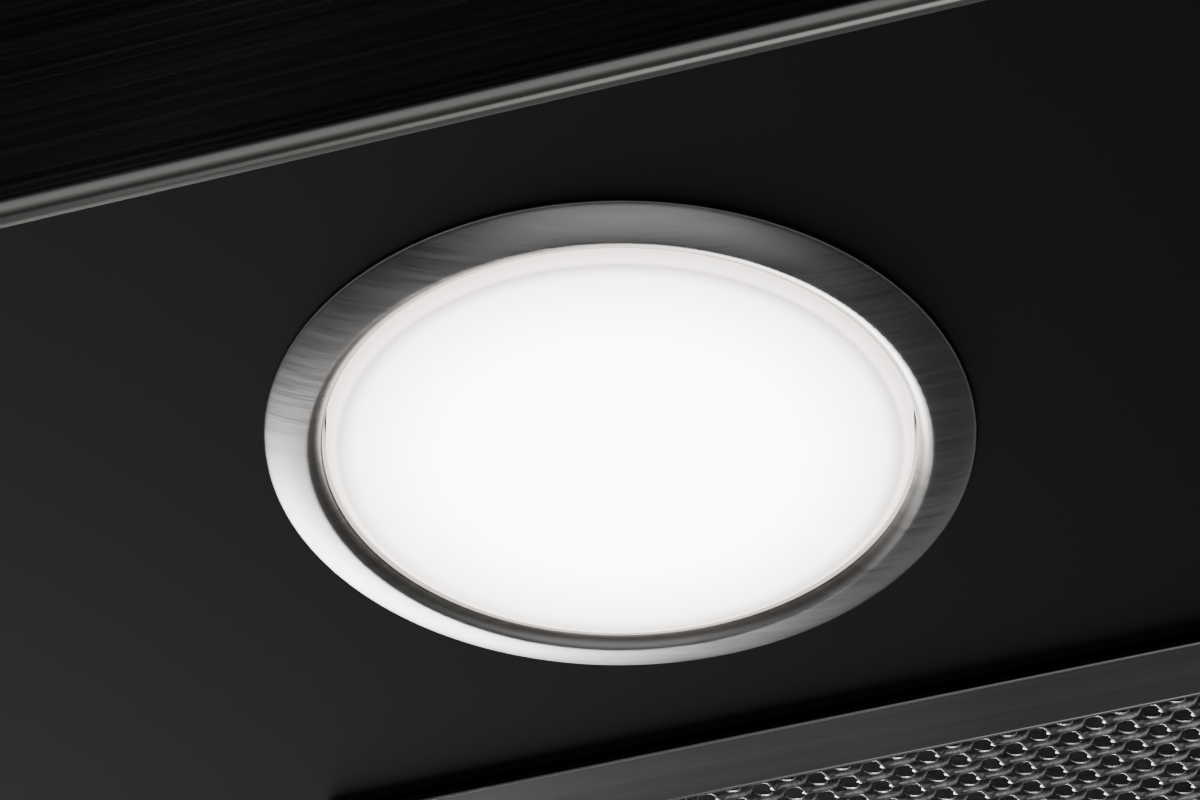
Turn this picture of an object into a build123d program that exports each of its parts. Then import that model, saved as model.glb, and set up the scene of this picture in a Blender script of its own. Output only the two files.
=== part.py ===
from build123d import *

import os
from math import acos, cos, pi, sin

# Island range hood: a flat canopy with mesh filters and round lamps, hung from the ceiling on a
# telescopic frame that two chimney covers hide.
# Sizes are in millimetres. X runs along the long side, Y from the front to the rear, Z up.
# The origin is the middle of the ceiling plate's top face, so the hood hangs below it.

SIDES = {"left": -1, "right": 1}
CORNERS = {"front_left": (-1, -1), "front_right": (1, -1), "rear_left": (-1, 1), "rear_right": (1, 1)}

# Canopy
drop = 800.0  # ceiling to the canopy's lowest edge
canopy_width = 900.0
canopy_depth = 600.0
canopy_height = 55.0
canopy_sheet = 1.0
canopy_corner = 3.0
hem_width = 2.0  # doubled sheet along the bottom edge
hem_height = 10.0
hem_round = 1.6
canopy_top_round = 0.8
air_inlet_width = 256.0
air_inlet_depth = 204.0

# Underside panel
panel_sheet = 1.0
panel_recess = 0.3  # panel face above the hem
panel_gap = 0.2
panel_rim_height = 12.0
panel_corner = 1.0
opening_rim_height = 14.0
divider_width = 16.0

# Lamps
lamp_edge_distance = 48.3  # lamp centre to the panel's edge
lamp_spacing = 200.0  # front lamp to rear lamp
bezel_radius = 35.0
bezel_crest_radius = 31.2
bezel_crest = 1.7
bezel_lip_drop = 0.85
bezel_slope_bulge = 0.35  # outer slope's middle point, outwards of halfway
bezel_slope_share = 0.72  # its height as a share of the crest
bezel_inner_run = 0.7  # inner slope's middle point, outwards of the lip
bezel_inner_share = 0.93
bezel_height = 10.0
bezel_shoulder = 2.0  # height of the seat that the lens flange lies on
sleeve_wall = 1.0
lens_radius = 29.0
lens_drop = 2.0  # lens face below the panel
lens_round = 1.0
lens_wall = 1.6
lens_flange = 0.8
lens_flange_thickness = 1.5
lens_gap = 0.2
lamp_hole_gap = 0.5
lamp_can_top = 24.0
lamp_can_wall = 1.5
lamp_can_cap = 2.0
led_board_thickness = 1.6
led_board_gap = 2.3
led_count = 8
led_size = 3.0
led_height = 1.0
led_circle = 0.65  # share of the board's radius
clip_count = 3
clip_width = 8.0
clip_sheet = 0.5
clip_reach = 7.0
clip_top_gap = 0.5
clip_bend = 0.8
clip_root = 1.3

# Filters
filter_width = 344.0
filter_depth = 300.0
filter_height = 10.0
filter_proud = 1.0  # filter face below the panel
filter_sheet = 1.0
filter_flange = 8.5
filter_side_gap = 0.5
filter_front_gap = 0.5
pack_gap = 0.2
hinge_height = 3.0  # hinge line above the filter's lower face
hinge_back = 1.2  # hinge line behind the filter's rear wall
hinge_rim_distance = 2.5  # hinge line to the opening's rear rim
tab_width = 20.0
tab_sheet = 1.0
tab_reach = 6.0
tab_spacing = 180.0
tab_slot_play = 1.0
bead_radius = 1.0

# Filter latch
latch_width = 92.0
latch_depth = 30.0
latch_wall = 1.2
latch_roof_gap = 0.2
latch_rim = 3.0
latch_rim_sheet = 0.9
slider_width = 56.0
slider_depth = 16.0
slider_front_gap = 0.4
slider_floor = 4.0  # slider plate above the filter's lower face
slider_sheet = 3.0
slider_rib_width = 44.0
slider_rib = 3.0
slider_rib_recess = 0.6
nose_width = 24.0
nose_reach = 3.5
nose_height = 2.0
nose_play = 0.5
rail_gap = 0.3
rail_wall = 1.5
rail_ledge = 1.8
catch_notch_play = 1.0
catch_sheet = 0.5
catch_width = 22.0
catch_foot = 12.0
catch_ramp = 3.6
catch_gap = 0.2
spring_wire = 0.25
spring_radius = 1.5
spring_pitch = 1.4
spring_spacing = 30.0

# Controls
button_count = 5
button_width = 17.4
button_height = 11.4
button_pitch = 27.0
button_proud = 1.5  # cap beyond the fascia
button_gap = 0.3
button_flange = 1.3
button_flange_sheet = 1.0
button_length = 9.0
button_travel = 1.5
fascia_width = 150.0
fascia_height = 24.0
fascia_proud = 1.0
fascia_thickness = 3.0
fascia_flange = 5.0
fascia_flange_sheet = 1.5
fascia_gap = 0.2
fascia_lift = 30.0  # fascia middle above the canopy's lowest edge
board_boss_radius = 3.0
board_boss_length = 8.0
switch_board_sheet = 1.6
switch_size = 6.0
switch_play = 0.3

# Chimney and telescopic frame
cover_length = 430.0
cover_sheet = 1.0
lower_cover_width = 340.0
lower_cover_depth = 290.0
cover_gap = 1.0  # between the two covers
cover_corner = 2.5
cover_ceiling_gap = 1.0
vent_count = 7
vent_width = 110.0
vent_height = 4.0
vent_pitch = 10.0
vent_start = 52.0
plate_gap = 0.3
plate_corner = 2.0
plate_thickness = 3.0
plate_flange_sheet = 1.5
plate_flange_height = 25.0
duct_hole_radius = 85.0
ceiling_hole_radius = 4.5
ceiling_hole_spacing_x = 260.0
ceiling_hole_spacing_y = 220.0
post_leg = 25.0
post_sheet = 2.0
post_length = 427.0
post_gap = 0.3
strap_height = 20.0
strap_sheet = 1.5
frame_ring_sheet = 2.0
travel_up = 200.0
travel_down = 70.0
frame_bolt_radius = 3.0
frame_bolt_head = 6.5
frame_bolt_head_height = 1.5
frame_nut_radius = 5.5
frame_nut_height = 5.0
frame_bolt_first = 10.0
frame_bolt_pitch = 20.0
slot_play = 0.3
slot_end_play = 4.0
cover_screw_radius = 2.0
cover_screw_length = 8.0
cover_screw_head = 3.8
cover_screw_head_height = 1.8
cover_screw_depth = 14.0
cover_screw_spacing = 180.0

# Blower
motor_box_width = 290.0
motor_box_depth = 232.0
motor_box_height = 235.0
motor_box_sheet = 1.0
motor_box_flange = 12.0
box_screw_radius = 2.0
box_screw_head = 3.5
box_screw_head_height = 2.0
box_screws_x = 4
box_screws_y = 3
box_screw_reach_x = 0.9  # outermost screws, as a share of the box's half width
box_screw_reach_y = 0.8
scroll_floor_gap = 12.0
scroll_wall = 2.0
scroll_half_width = 58.0
scroll_cut_radius = 76.0
scroll_end_radius = 100.0
scroll_axis_x = -47.0
scroll_tongue_x = -53.6
scroll_steps = 9
inlet_radius = 52.0
wheel_radius = 70.0
wheel_inner_radius = 62.0
wheel_half_length = 50.0
wheel_ring = 2.0
wheel_disc = 2.0
wheel_disc_inset = 1.0
blade_count = 36
blade_sheet = 0.8
blade_tilt = 28.0
wheel_hub_radius = 9.0
wheel_hub_front = 14.0
wheel_hub_rear = 4.0
shaft_radius = 4.0
shaft_clearance = 0.05
motor_radius = 38.0
motor_start = 6.0
motor_length = 48.0
motor_round = 2.0
shaft_hole_gap = 1.0
bearing_radius = 9.0
bearing_width = 5.0
bracket_hub_radius = 20.0
bracket_sheet = 2.0
bracket_arm_width = 10.0
bracket_bolt_circle = 57.0
bracket_screw_head_height = 1.2
grommet_radius = 4.5
grommet_height = 2.0
guard_radius = 66.0
guard_rim = 3.7
guard_sheet = 1.8
guard_bar = 1.6
guard_rings = 4
guard_spokes = 8
guard_gap = 0.8  # rear guard's grille above the bracket's screws

# Outlet collar and its two flaps
collar_radius = 74.5
collar_wall = 2.0
collar_height = 60.0
collar_flange_width = 176.0
collar_flange_sheet = 3.0
flap_pin_radius = 1.5
flap_pin_height = 17.0
flap_sheet = 1.2
flap_edge_gap = 1.0
flap_start = 4.0  # flap plate's distance from the hinge line
flap_ledge = 3.0
flap_ledge_thickness = 2.1
flap_rest_gap = 0.3
knuckle_radius = 2.8
knuckle_length = 16.0
knuckle_places = {-1: (-51.0, 0.0), 1: (-25.5, 25.5)}  # along the pin, front and rear flap

# Electronics
ebox_width = 160.0
ebox_height = 120.0
ebox_depth = 18.0
ebox_sheet = 1.2
ebox_lift = 45.0  # above the canopy's top
main_board_sheet = 1.6
main_board_lift = 4.0
main_board_margin = 10.0
main_board_top_margin = 14.0
board_post_radius = 2.5
board_post_inset = 5.0
board_parts = ((-45, 26, 30), (-14, 12, 24), (2, 12, 24), (34, 20, 18))  # x, width, height
board_part_lift = 20.0
board_part_depth = 8.0
capacitor_radius = 12.0
capacitor_length = 60.0
capacitor_x = 112.0
capacitor_foot = 8.4
gland_bore = 3.8
gland_radius = 5.9
gland_nut_radius = 8.2
gland_nut_height = 4.0
gland_length = 26.0
gland_x = 50.0
gland_tail = 1.0


# ---- Places worked out from the sizes above ----
edge_z = -drop
panel_z = edge_z + panel_recess
canopy_top = edge_z + canopy_height
half_width = canopy_width / 2
half_depth = canopy_depth / 2

lamp_x = half_width - hem_width - lamp_edge_distance
lamp_y = lamp_spacing / 2
lens_bore = lens_radius + lens_gap
sleeve_bore = lens_radius + lens_flange + lens_gap
sleeve_radius = sleeve_bore + sleeve_wall

opening_width = filter_width + 2 * filter_side_gap
opening_depth = filter_front_gap + filter_depth + hinge_back + hinge_rim_distance
opening_y = opening_depth / 2
filter_z = panel_z - filter_proud
filter_front = -opening_y + filter_front_gap
filter_rear = filter_front + filter_depth
hinge_y = filter_rear + hinge_back
hinge_z = filter_z + hinge_height
nose_z = filter_z + slider_floor + nose_play
catch_top = nose_z - catch_gap

upper_cover_width = lower_cover_width - 2 * (cover_sheet + cover_gap)
upper_cover_depth = lower_cover_depth - 2 * (cover_sheet + cover_gap)
plate_width = upper_cover_width - 2 * (cover_sheet + plate_gap)
plate_depth = upper_cover_depth - 2 * (cover_sheet + plate_gap)
upper_post_x = plate_width / 2 - plate_flange_sheet - post_gap
upper_post_y = plate_depth / 2 - plate_flange_sheet - post_gap
lower_post_x = upper_post_x - post_sheet - post_gap
lower_post_y = upper_post_y - post_sheet - post_gap
upper_post_bottom = -plate_thickness - post_length
lower_post_top = canopy_top + cover_length
bolt_y = upper_post_y - post_leg / 2
bolt_levels = [lower_post_top - frame_bolt_first - i * frame_bolt_pitch for i in range(2)]

box_top = canopy_top + motor_box_height
scroll_top = box_top - motor_box_sheet
bracket_face = scroll_half_width + grommet_height + bracket_sheet
box_x = motor_box_width / 2
box_y = motor_box_depth / 2
collar_top = box_top + collar_height
collar_bore = collar_radius - collar_wall
flap_z = box_top + flap_pin_height
ebox_z = canopy_top + ebox_lift


# ---- Small shape helpers ----
def slab(x, y, z):
    """Block between two limits on each axis."""
    middle = [(a + b) / 2 for a, b in (x, y, z)]
    sides = [abs(b - a) for a, b in (x, y, z)]
    return Pos(*middle) * Box(*sides)


def mirrored(limits, side):
    """Limits along an axis, on one side of the middle."""
    return (side * limits[0], side * limits[1])


def disc(radius, x, y, z):
    """Cylinder along Z between two heights."""
    return Pos(x, y, (z[0] + z[1]) / 2) * Cylinder(radius, abs(z[1] - z[0]))


def disc_x(radius, x, y, z):
    """Cylinder along X between two limits."""
    return Pos((x[0] + x[1]) / 2, y, z) * Rot(0, 90, 0) * Cylinder(radius, abs(x[1] - x[0]))


def disc_y(radius, x, y, z):
    """Cylinder along Y between two limits."""
    return Pos(x, (y[0] + y[1]) / 2, z) * Rot(90, 0, 0) * Cylinder(radius, abs(y[1] - y[0]))


def plate(width, depth, corner, z):
    """Round-cornered plate centred on the Z axis, between two heights."""
    return Pos(0, 0, z[0]) * extrude(RectangleRounded(width, depth, corner), z[1] - z[0])


def tube(width, depth, wall, corner, z):
    """Round-cornered rectangular tube between two heights."""
    inner = plate(width - 2 * wall, depth - 2 * wall, max(corner - wall, 0.2), (z[0] - 1, z[1] + 1))
    return plate(width, depth, corner, z) - inner


def frame_of(x, y, wall, z):
    """Square-cornered rim that stands round a rectangle, outside it."""
    outer = slab((x[0] - wall, x[1] + wall), (y[0] - wall, y[1] + wall), z)
    return outer - slab(x, y, (z[0] - 1, z[1] + 1))


def turned(points, x=0.0, y=0.0, z=0.0):
    """Solid of revolution about a vertical axis, from (radius, height) points or edges."""
    profile = points if not isinstance(points, list) else Polyline(*points, close=True)
    face = make_face(Plane.XZ * profile)
    return Pos(x, y, z) * revolve(face, Axis.Z, 360)


def write(node, *shapes):
    """One STEP file per node. Several shapes make a group of separate solids."""
    solids = [s for shape in shapes for s in shape.solids()]
    whole = solids[0] if len(solids) == 1 else Compound(children=solids)
    export_step(whole, f"parts/{node}.step")


# ---- Ceiling mount ----
def make_ceiling_plate():
    x = plate_width / 2
    body = plate(plate_width, plate_depth, plate_corner, (-plate_thickness, 0))
    body += tube(plate_width, plate_depth, plate_flange_sheet, plate_corner,
                 (-plate_flange_height, -plate_thickness))
    body -= disc(duct_hole_radius, 0, 0, (-plate_thickness - 1, 1))
    for sx, sy in CORNERS.values():
        px, py = sx * ceiling_hole_spacing_x / 2, sy * ceiling_hole_spacing_y / 2
        body -= disc(ceiling_hole_radius, px, py, (-plate_thickness - 1, 1))
    for sx in SIDES.values():
        for sy in SIDES.values():
            body -= disc_x(cover_screw_radius, mirrored((x - 5, x + 5), sx), sy * cover_screw_spacing / 2,
                           -cover_screw_depth)
    return body


def make_upper_chimney():
    top = -cover_ceiling_gap
    body = tube(upper_cover_width, upper_cover_depth, cover_sheet, cover_corner, (top - cover_length, top))
    for i in range(vent_count):
        z = top - vent_start - i * vent_pitch
        body -= slab((-upper_cover_width, upper_cover_width), (-vent_width / 2, vent_width / 2),
                     (z - vent_height, z))
    for sy in SIDES.values():
        body -= disc_x(cover_screw_radius, (-upper_cover_width, upper_cover_width),
                       sy * cover_screw_spacing / 2, -cover_screw_depth)
    return body


def make_chimney_screws():
    screws = []
    outside = upper_cover_width / 2
    for sx in SIDES.values():
        for sy in SIDES.values():
            y = sy * cover_screw_spacing / 2
            shank = disc_x(cover_screw_radius, mirrored((outside - cover_screw_length, outside), sx), y,
                           -cover_screw_depth)
            head_limits = (outside, outside + cover_screw_head_height)
            # the lower cover never rises this far, so the head may stand proud
            head = disc_x(cover_screw_head, mirrored(head_limits, sx), y, -cover_screw_depth)
            screws.append(shank + head)
    return screws


def angle_post(x, y, z, sx, sy):
    """Upright of L section with its outer corner at (x, y)."""
    along_y = slab(mirrored((x - post_sheet, x), sx), mirrored((y - post_leg, y), sy), z)
    along_x = slab(mirrored((x - post_leg, x), sx), mirrored((y - post_sheet, y), sy), z)
    return along_y + along_x


def make_upper_frame():
    x, y = upper_post_x, upper_post_y
    slot_top = bolt_levels[0] + travel_up + slot_end_play
    slot_bottom = bolt_levels[-1] - travel_down - slot_end_play
    half_slot = frame_bolt_radius + slot_play
    ladders = []
    for sy in SIDES.values():
        strap_z = (upper_post_bottom, upper_post_bottom + strap_height)
        ladder = slab((-x, x), mirrored((y, y + strap_sheet), sy), strap_z)
        for sx in SIDES.values():
            post = angle_post(x, y, (upper_post_bottom, -plate_thickness), sx, sy)
            cut_x = mirrored((x - post_sheet - 1, x + 1), sx)
            cut_y = (sy * bolt_y - half_slot, sy * bolt_y + half_slot)
            post -= slab(cut_x, cut_y, (slot_bottom, slot_top))
            for end in (slot_bottom, slot_top):
                post -= disc_x(half_slot, cut_x, sy * bolt_y, end)
            ladder += post
        ladders.append(ladder)
    return ladders


def make_lower_frame():
    x, y = lower_post_x, lower_post_y
    ring_z = (canopy_top, canopy_top + frame_ring_sheet)
    inner_x = box_x + motor_box_flange + post_gap
    inner_y = box_y + motor_box_flange + post_gap
    body = slab((-x, x), (-y, y), ring_z)
    body -= slab((-inner_x, inner_x), (-inner_y, inner_y), (ring_z[0] - 1, ring_z[1] + 1))
    for sx, sy in CORNERS.values():
        post = angle_post(x, y, (canopy_top, lower_post_top), sx, sy)
        for z in bolt_levels:
            post -= disc_x(frame_bolt_radius + post_gap / 2, mirrored((x - post_sheet - 1, x + 1), sx),
                           sy * bolt_y, z)
        body += post
    for sy in SIDES.values():
        strap_y = mirrored((y - post_sheet - strap_sheet, y - post_sheet), sy)
        reach = x - post_sheet
        body += slab((-reach, reach), strap_y, (lower_post_top - strap_height, lower_post_top))
    return body


def make_frame_bolts():
    bolts = []
    outer_face = upper_post_x + post_gap / 3
    inner_face = lower_post_x - post_sheet
    for sx, sy in CORNERS.values():
        for z in bolt_levels:
            y = sy * bolt_y
            shank = disc_x(frame_bolt_radius, mirrored((inner_face - frame_nut_height, outer_face), sx), y, z)
            head_x = mirrored((outer_face, outer_face + frame_bolt_head_height), sx)
            nut_x = mirrored((inner_face - frame_nut_height, inner_face), sx)
            nut = Pos(sum(nut_x) / 2, y, z) * Rot(0, 90, 0) * extrude(
                RegularPolygon(frame_nut_radius, 6), frame_nut_height / 2, both=True)
            bolts.append(shank + disc_x(frame_bolt_head, head_x, y, z) + nut)
    return bolts


def make_lower_chimney():
    return tube(lower_cover_width, lower_cover_depth, cover_sheet, cover_corner + cover_sheet,
                (canopy_top, canopy_top + cover_length))


# ---- Canopy ----
def fascia_limits(grow=0.0):
    """Limits in X and Z of the fascia's window, grown on every side."""
    x = fascia_width / 2 + grow
    z = edge_z + fascia_lift
    return (-x, x), (z - fascia_height / 2 - grow, z + fascia_height / 2 + grow)


def make_canopy_shell():
    body = plate(canopy_width, canopy_depth, canopy_corner, (edge_z, canopy_top))
    body = fillet(body.edges().group_by(Axis.Z)[0], hem_round)
    body = fillet(body.edges().group_by(Axis.Z)[-1], canopy_top_round)
    wide = canopy_width - 2 * canopy_sheet, canopy_depth - 2 * canopy_sheet
    body -= plate(*wide, canopy_corner - canopy_sheet, (edge_z + hem_height, canopy_top - canopy_sheet))
    narrow = canopy_width - 2 * hem_width, canopy_depth - 2 * hem_width
    body -= plate(*narrow, canopy_corner - hem_width, (edge_z - 1, edge_z + hem_height))
    x, y = air_inlet_width / 2, air_inlet_depth / 2
    body -= slab((-x, x), (-y, y), (canopy_top - canopy_sheet - 1, canopy_top + 1))
    window_x, window_z = fascia_limits()
    body -= slab(window_x, (-half_depth - 1, -half_depth + canopy_sheet + 1), window_z)
    return body


def filter_centre(side):
    return side * (divider_width + opening_width) / 2


def make_underside_panel():
    top = panel_z + panel_sheet
    width = canopy_width - 2 * (hem_width + panel_gap)
    depth = canopy_depth - 2 * (hem_width + panel_gap)
    body = plate(width, depth, panel_corner, (panel_z, top))
    body += tube(width, depth, panel_sheet, panel_corner, (top, panel_z + panel_rim_height))
    for side in SIDES.values():
        centre = filter_centre(side)
        x = (centre - opening_width / 2, centre + opening_width / 2)
        y = (-opening_y, opening_y)
        body -= slab(x, y, (panel_z - 1, top + 1))
        body += frame_of(x, y, panel_sheet, (panel_z, panel_z + opening_rim_height))
        for tab in tab_centres(side):
            slot_x = (tab - tab_width / 2 - tab_slot_play, tab + tab_width / 2 + tab_slot_play)
            slot_z = (hinge_z - tab_sheet / 2 - post_gap, hinge_z + tab_reach + tab_slot_play)
            body -= slab(slot_x, (opening_y - 0.5, opening_y + panel_sheet + 0.5), slot_z)
        notch = nose_width / 2 + catch_notch_play
        notch_front = filter_front - nose_reach - catch_notch_play
        body -= slab((centre - notch, centre + notch), (notch_front, -opening_y + 0.5),
                     (panel_z - 1, panel_z + opening_rim_height + 1))
    for sx, sy in CORNERS.values():
        body -= disc(sleeve_radius + lamp_hole_gap, sx * lamp_x, sy * lamp_y, (panel_z - 1, top + 1))
    return body


# ---- Lamps ----
def make_lamp_bezel(x, y):
    """Convex ring that stands below the panel, with a sleeve up through it."""
    lip = (lens_bore, -bezel_lip_drop)
    crest = (bezel_crest_radius, -bezel_crest)
    middle = (bezel_crest_radius + bezel_radius) / 2
    outer = ThreePointArc((bezel_radius, 0), (middle + bezel_slope_bulge, -bezel_slope_share * bezel_crest),
                          crest)
    inner = ThreePointArc(crest, (lens_bore + bezel_inner_run, -bezel_inner_share * bezel_crest), lip)
    rest = Polyline(lip, (lens_bore, bezel_shoulder), (sleeve_bore, bezel_shoulder),
                    (sleeve_bore, bezel_height), (sleeve_radius, bezel_height), (sleeve_radius, 0),
                    (bezel_radius, 0))
    return turned(outer + inner + rest, x, y, panel_z)


def make_lamp_lens(x, y):
    """Diffuser cap: a flat face with a rounded edge, and a flange that lies on the bezel's seat."""
    face = -lens_drop
    top = bezel_shoulder + lens_flange_thickness
    flange = lens_radius + lens_flange
    inner = lens_radius - lens_wall
    corner = lens_radius - lens_round
    bend = lens_round * (1 - cos(pi / 4))
    start = Polyline((0, face + lens_wall), (0, face), (corner, face))
    rounding = ThreePointArc((corner, face), (lens_radius - bend, face + bend),
                             (lens_radius, face + lens_round))
    rest = Polyline((lens_radius, face + lens_round), (lens_radius, bezel_shoulder),
                    (flange, bezel_shoulder), (flange, top), (inner, top), (inner, face + lens_wall),
                    (0, face + lens_wall))
    return turned(start + rounding + rest, x, y, panel_z)


def make_lamp_can(x, y):
    foot = bezel_shoulder + lens_flange_thickness
    outer = lens_radius + lens_flange
    inner = outer - lamp_can_wall
    points = [(inner, foot), (outer, foot), (outer, lamp_can_top), (0, lamp_can_top),
              (0, lamp_can_top - lamp_can_cap), (inner, lamp_can_top - lamp_can_cap)]
    return turned(points, x, y, panel_z)


def make_led_board(x, y):
    top = panel_z + lamp_can_top - lamp_can_cap
    radius = lens_radius + lens_flange - lamp_can_wall - led_board_gap
    body = disc(radius, x, y, (top - led_board_thickness, top))
    half = led_size / 2
    for i in range(led_count):
        angle = 2 * pi * i / led_count
        px, py = x + led_circle * radius * cos(angle), y + led_circle * radius * sin(angle)
        low = top - led_board_thickness
        body += slab((px - half, px + half), (py - half, py + half), (low - led_height, low))
    return body


def make_lamp_clips(x, y):
    """Leaf springs on the sleeve that press down on the panel's upper face."""
    r, t, low, high = sleeve_radius, clip_sheet, panel_sheet, bezel_height - clip_top_gap
    outline = Polyline((r, high / 2), (r, high), (r + clip_bend, high), (r + clip_reach, low + t),
                       (r + clip_reach, low), (r + clip_reach - clip_bend, low), (r + t, high - clip_root),
                       (r + t, high / 2), close=True)
    leaf = extrude(make_face(Plane.XZ * outline), clip_width / 2, both=True)
    turns = [90 + 360 / clip_count * i for i in range(clip_count)]
    return [Pos(x, y, panel_z) * Rot(0, 0, turn) * leaf for turn in turns]


# ---- Filters ----
def tab_centres(side):
    centre = filter_centre(side)
    return (centre - tab_spacing / 2, centre + tab_spacing / 2)


def make_filter_frame(side):
    centre = filter_centre(side)
    x = (centre - filter_width / 2, centre + filter_width / 2)
    y = (filter_front, filter_rear)
    z = (filter_z, filter_z + filter_height)
    body = slab(x, y, z)
    body -= slab((x[0] + filter_flange, x[1] - filter_flange),
                 (y[0] + filter_flange, y[1] - filter_flange), (z[0] - 1, z[1] + 1))
    body -= slab((x[0] + filter_sheet, x[1] - filter_sheet), (y[0] + filter_sheet, y[1] - filter_sheet),
                 (z[0] + filter_sheet, z[1] - filter_sheet))
    cut = latch_width / 2 + latch_rim + latch_roof_gap
    body -= slab((centre - cut, centre + cut), (y[0] + filter_sheet, y[0] + filter_flange + 1),
                 (z[0] - 1, z[0] + filter_sheet))
    body -= nose_window(centre)
    for tab in tab_centres(side):
        tab_x = (tab - tab_width / 2, tab + tab_width / 2)
        body += slab(tab_x, (filter_rear - filter_sheet / 2, hinge_y + tab_reach),
                     (hinge_z - tab_sheet / 2, hinge_z + tab_sheet / 2))
        body += disc_x(bead_radius, tab_x, hinge_y, hinge_z)
    return body


def nose_window(centre):
    """Cut through the frame's front wall and the latch housing for the latch nose."""
    half = nose_width / 2 + nose_play
    return slab((centre - half, centre + half), (filter_front - 1, filter_front + filter_sheet + latch_wall + 0.5),
                (nose_z - rail_gap, nose_z + nose_height + rail_gap))


def make_filter_mesh(side):
    centre = filter_centre(side)
    inset = filter_sheet + pack_gap
    half = filter_width / 2 - inset
    body = slab((centre - half, centre + half), (filter_front + inset, filter_rear - inset),
                (filter_z + inset, filter_z + filter_height - inset))
    cut = latch_width / 2 + pack_gap
    body -= slab((centre - cut, centre + cut),
                 (filter_front, filter_front + filter_sheet + latch_depth + pack_gap),
                 (filter_z - 1, filter_z + filter_height + 1))
    return body


def make_latch_housing(side):
    centre = filter_centre(side)
    half = latch_width / 2
    front = filter_front + filter_sheet
    y = (front, front + latch_depth)
    roof = filter_z + filter_height - filter_sheet - latch_roof_gap
    ceiling = roof - latch_wall
    rim = half + latch_rim
    body = slab((centre - half, centre + half), y, (filter_z, roof))
    body += slab((centre - rim, centre + rim), (front, y[1] + latch_rim), (filter_z, filter_z + latch_rim_sheet))
    inside_y = (y[0] + latch_wall, y[1] - latch_wall)
    body -= slab((centre - half + latch_wall, centre + half - latch_wall), inside_y, (filter_z - 1, ceiling))
    for s in SIDES.values():
        rail = slider_width / 2 + rail_gap
        ledge_z = (filter_z + slider_floor - rail_gap - rail_wall, filter_z + slider_floor - rail_gap)
        body += slab((centre + s * rail, centre + s * (rail + rail_wall)), inside_y, (ledge_z[0], ceiling))
        body += slab((centre + s * (rail - rail_ledge), centre + s * rail), inside_y, ledge_z)
    body -= nose_window(centre)
    return body


def slider_limits():
    """Front and rear of the latch's sliding plate."""
    front = filter_front + filter_sheet + latch_wall + slider_front_gap
    return front, front + slider_depth


def make_latch_slider(side):
    centre = filter_centre(side)
    y = slider_limits()
    low = filter_z + slider_floor
    half = slider_width / 2
    body = slab((centre - half, centre + half), y, (low, low + slider_sheet))
    rib = slider_rib_width / 2
    body += slab((centre - rib, centre + rib), (y[1] - slider_rib, y[1]), (filter_z + slider_rib_recess, low))
    nose = nose_width / 2
    body += slab((centre - nose, centre + nose), (filter_front - nose_reach, y[0]),
                 (nose_z, nose_z + nose_height))
    return body


def make_latch_springs(side):
    """Coil springs between the slider and the housing's rear wall."""
    start = slider_limits()[1] + spring_wire
    end = filter_front + filter_sheet + latch_depth - latch_wall - spring_wire
    height = filter_z + slider_floor + slider_sheet / 2
    coils = []
    for s in SIDES.values():
        place = (filter_centre(side) + s * spring_spacing / 2, start, height)
        path = Helix(spring_pitch, end - start, spring_radius, center=place, direction=(0, 1, 0))
        coils.append(sweep((path ^ 0) * Circle(spring_wire), path=path, is_frenet=True))
    return coils


def make_catch_springs():
    """Leaf catches on the panel, under the latch noses."""
    top = panel_z + panel_sheet
    tip = -opening_y - catch_sheet
    knee = filter_front - nose_reach - catch_notch_play - catch_sheet
    foot = knee - catch_ramp
    heel = foot - catch_foot
    t = catch_sheet
    outline = Polyline((heel, top), (foot, top), (knee, catch_top - t), (tip, catch_top - t),
                       (tip, catch_top), (knee, catch_top), (foot, top + t), (heel, top + t), close=True)
    leaf = extrude(make_face(Plane.YZ * outline), catch_width / 2, both=True)
    return [Pos(filter_centre(side), 0, 0) * leaf for side in SIDES.values()]


# ---- Controls ----
def button_x(i):
    return (i - (button_count - 1) / 2) * button_pitch


def make_control_fascia():
    window_x, window_z = fascia_limits(-fascia_gap)
    front = -half_depth - fascia_proud
    back = -half_depth + canopy_sheet
    body = slab(window_x, (front, front + fascia_thickness), window_z)
    flange_x, flange_z = fascia_limits(fascia_flange)
    body += slab(flange_x, (back, back + fascia_flange_sheet), flange_z)
    z = edge_z + fascia_lift
    for i in range(button_count):
        half_w = button_width / 2 + button_gap
        half_h = button_height / 2 + button_gap
        body -= slab((button_x(i) - half_w, button_x(i) + half_w), (front - 1, back + fascia_flange_sheet + 1),
                     (z - half_h, z + half_h))
    for s in SIDES.values():
        boss_y = (back + fascia_flange_sheet, back + fascia_flange_sheet + board_boss_length)
        body += disc_y(board_boss_radius, s * fascia_width / 2, boss_y, z)
    return body


def button_limits():
    """Front and rear of a button at rest."""
    front = -half_depth - fascia_proud - button_proud
    return front, front + button_length


def make_button(i):
    z = edge_z + fascia_lift
    x = button_x(i)
    body = slab((x - button_width / 2, x + button_width / 2), button_limits(),
                (z - button_height / 2, z + button_height / 2))
    edges = body.faces().sort_by(Axis.Y)[0].edges()
    body = fillet(edges, button_flange / 2)
    stop = -half_depth + canopy_sheet + fascia_flange_sheet + button_gap
    half_w = button_width / 2 + button_flange
    half_h = button_height / 2 + button_flange
    body += slab((x - half_w, x + half_w), (stop, stop + button_flange_sheet), (z - half_h, z + half_h))
    return body


def make_switch_board():
    z = edge_z + fascia_lift
    front = -half_depth + canopy_sheet + fascia_flange_sheet + board_boss_length
    half_x = fascia_width / 2 + board_boss_radius
    half_z = fascia_height / 2
    body = slab((-half_x, half_x), (front, front + switch_board_sheet), (z - half_z, z + half_z))
    key_front = button_limits()[1] + button_travel + switch_play
    half = switch_size / 2
    for i in range(button_count):
        body += slab((button_x(i) - half, button_x(i) + half), (key_front, front), (z - half, z + half))
    return body


# ---- Blower ----
scroll_sweep = 2 * pi


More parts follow.
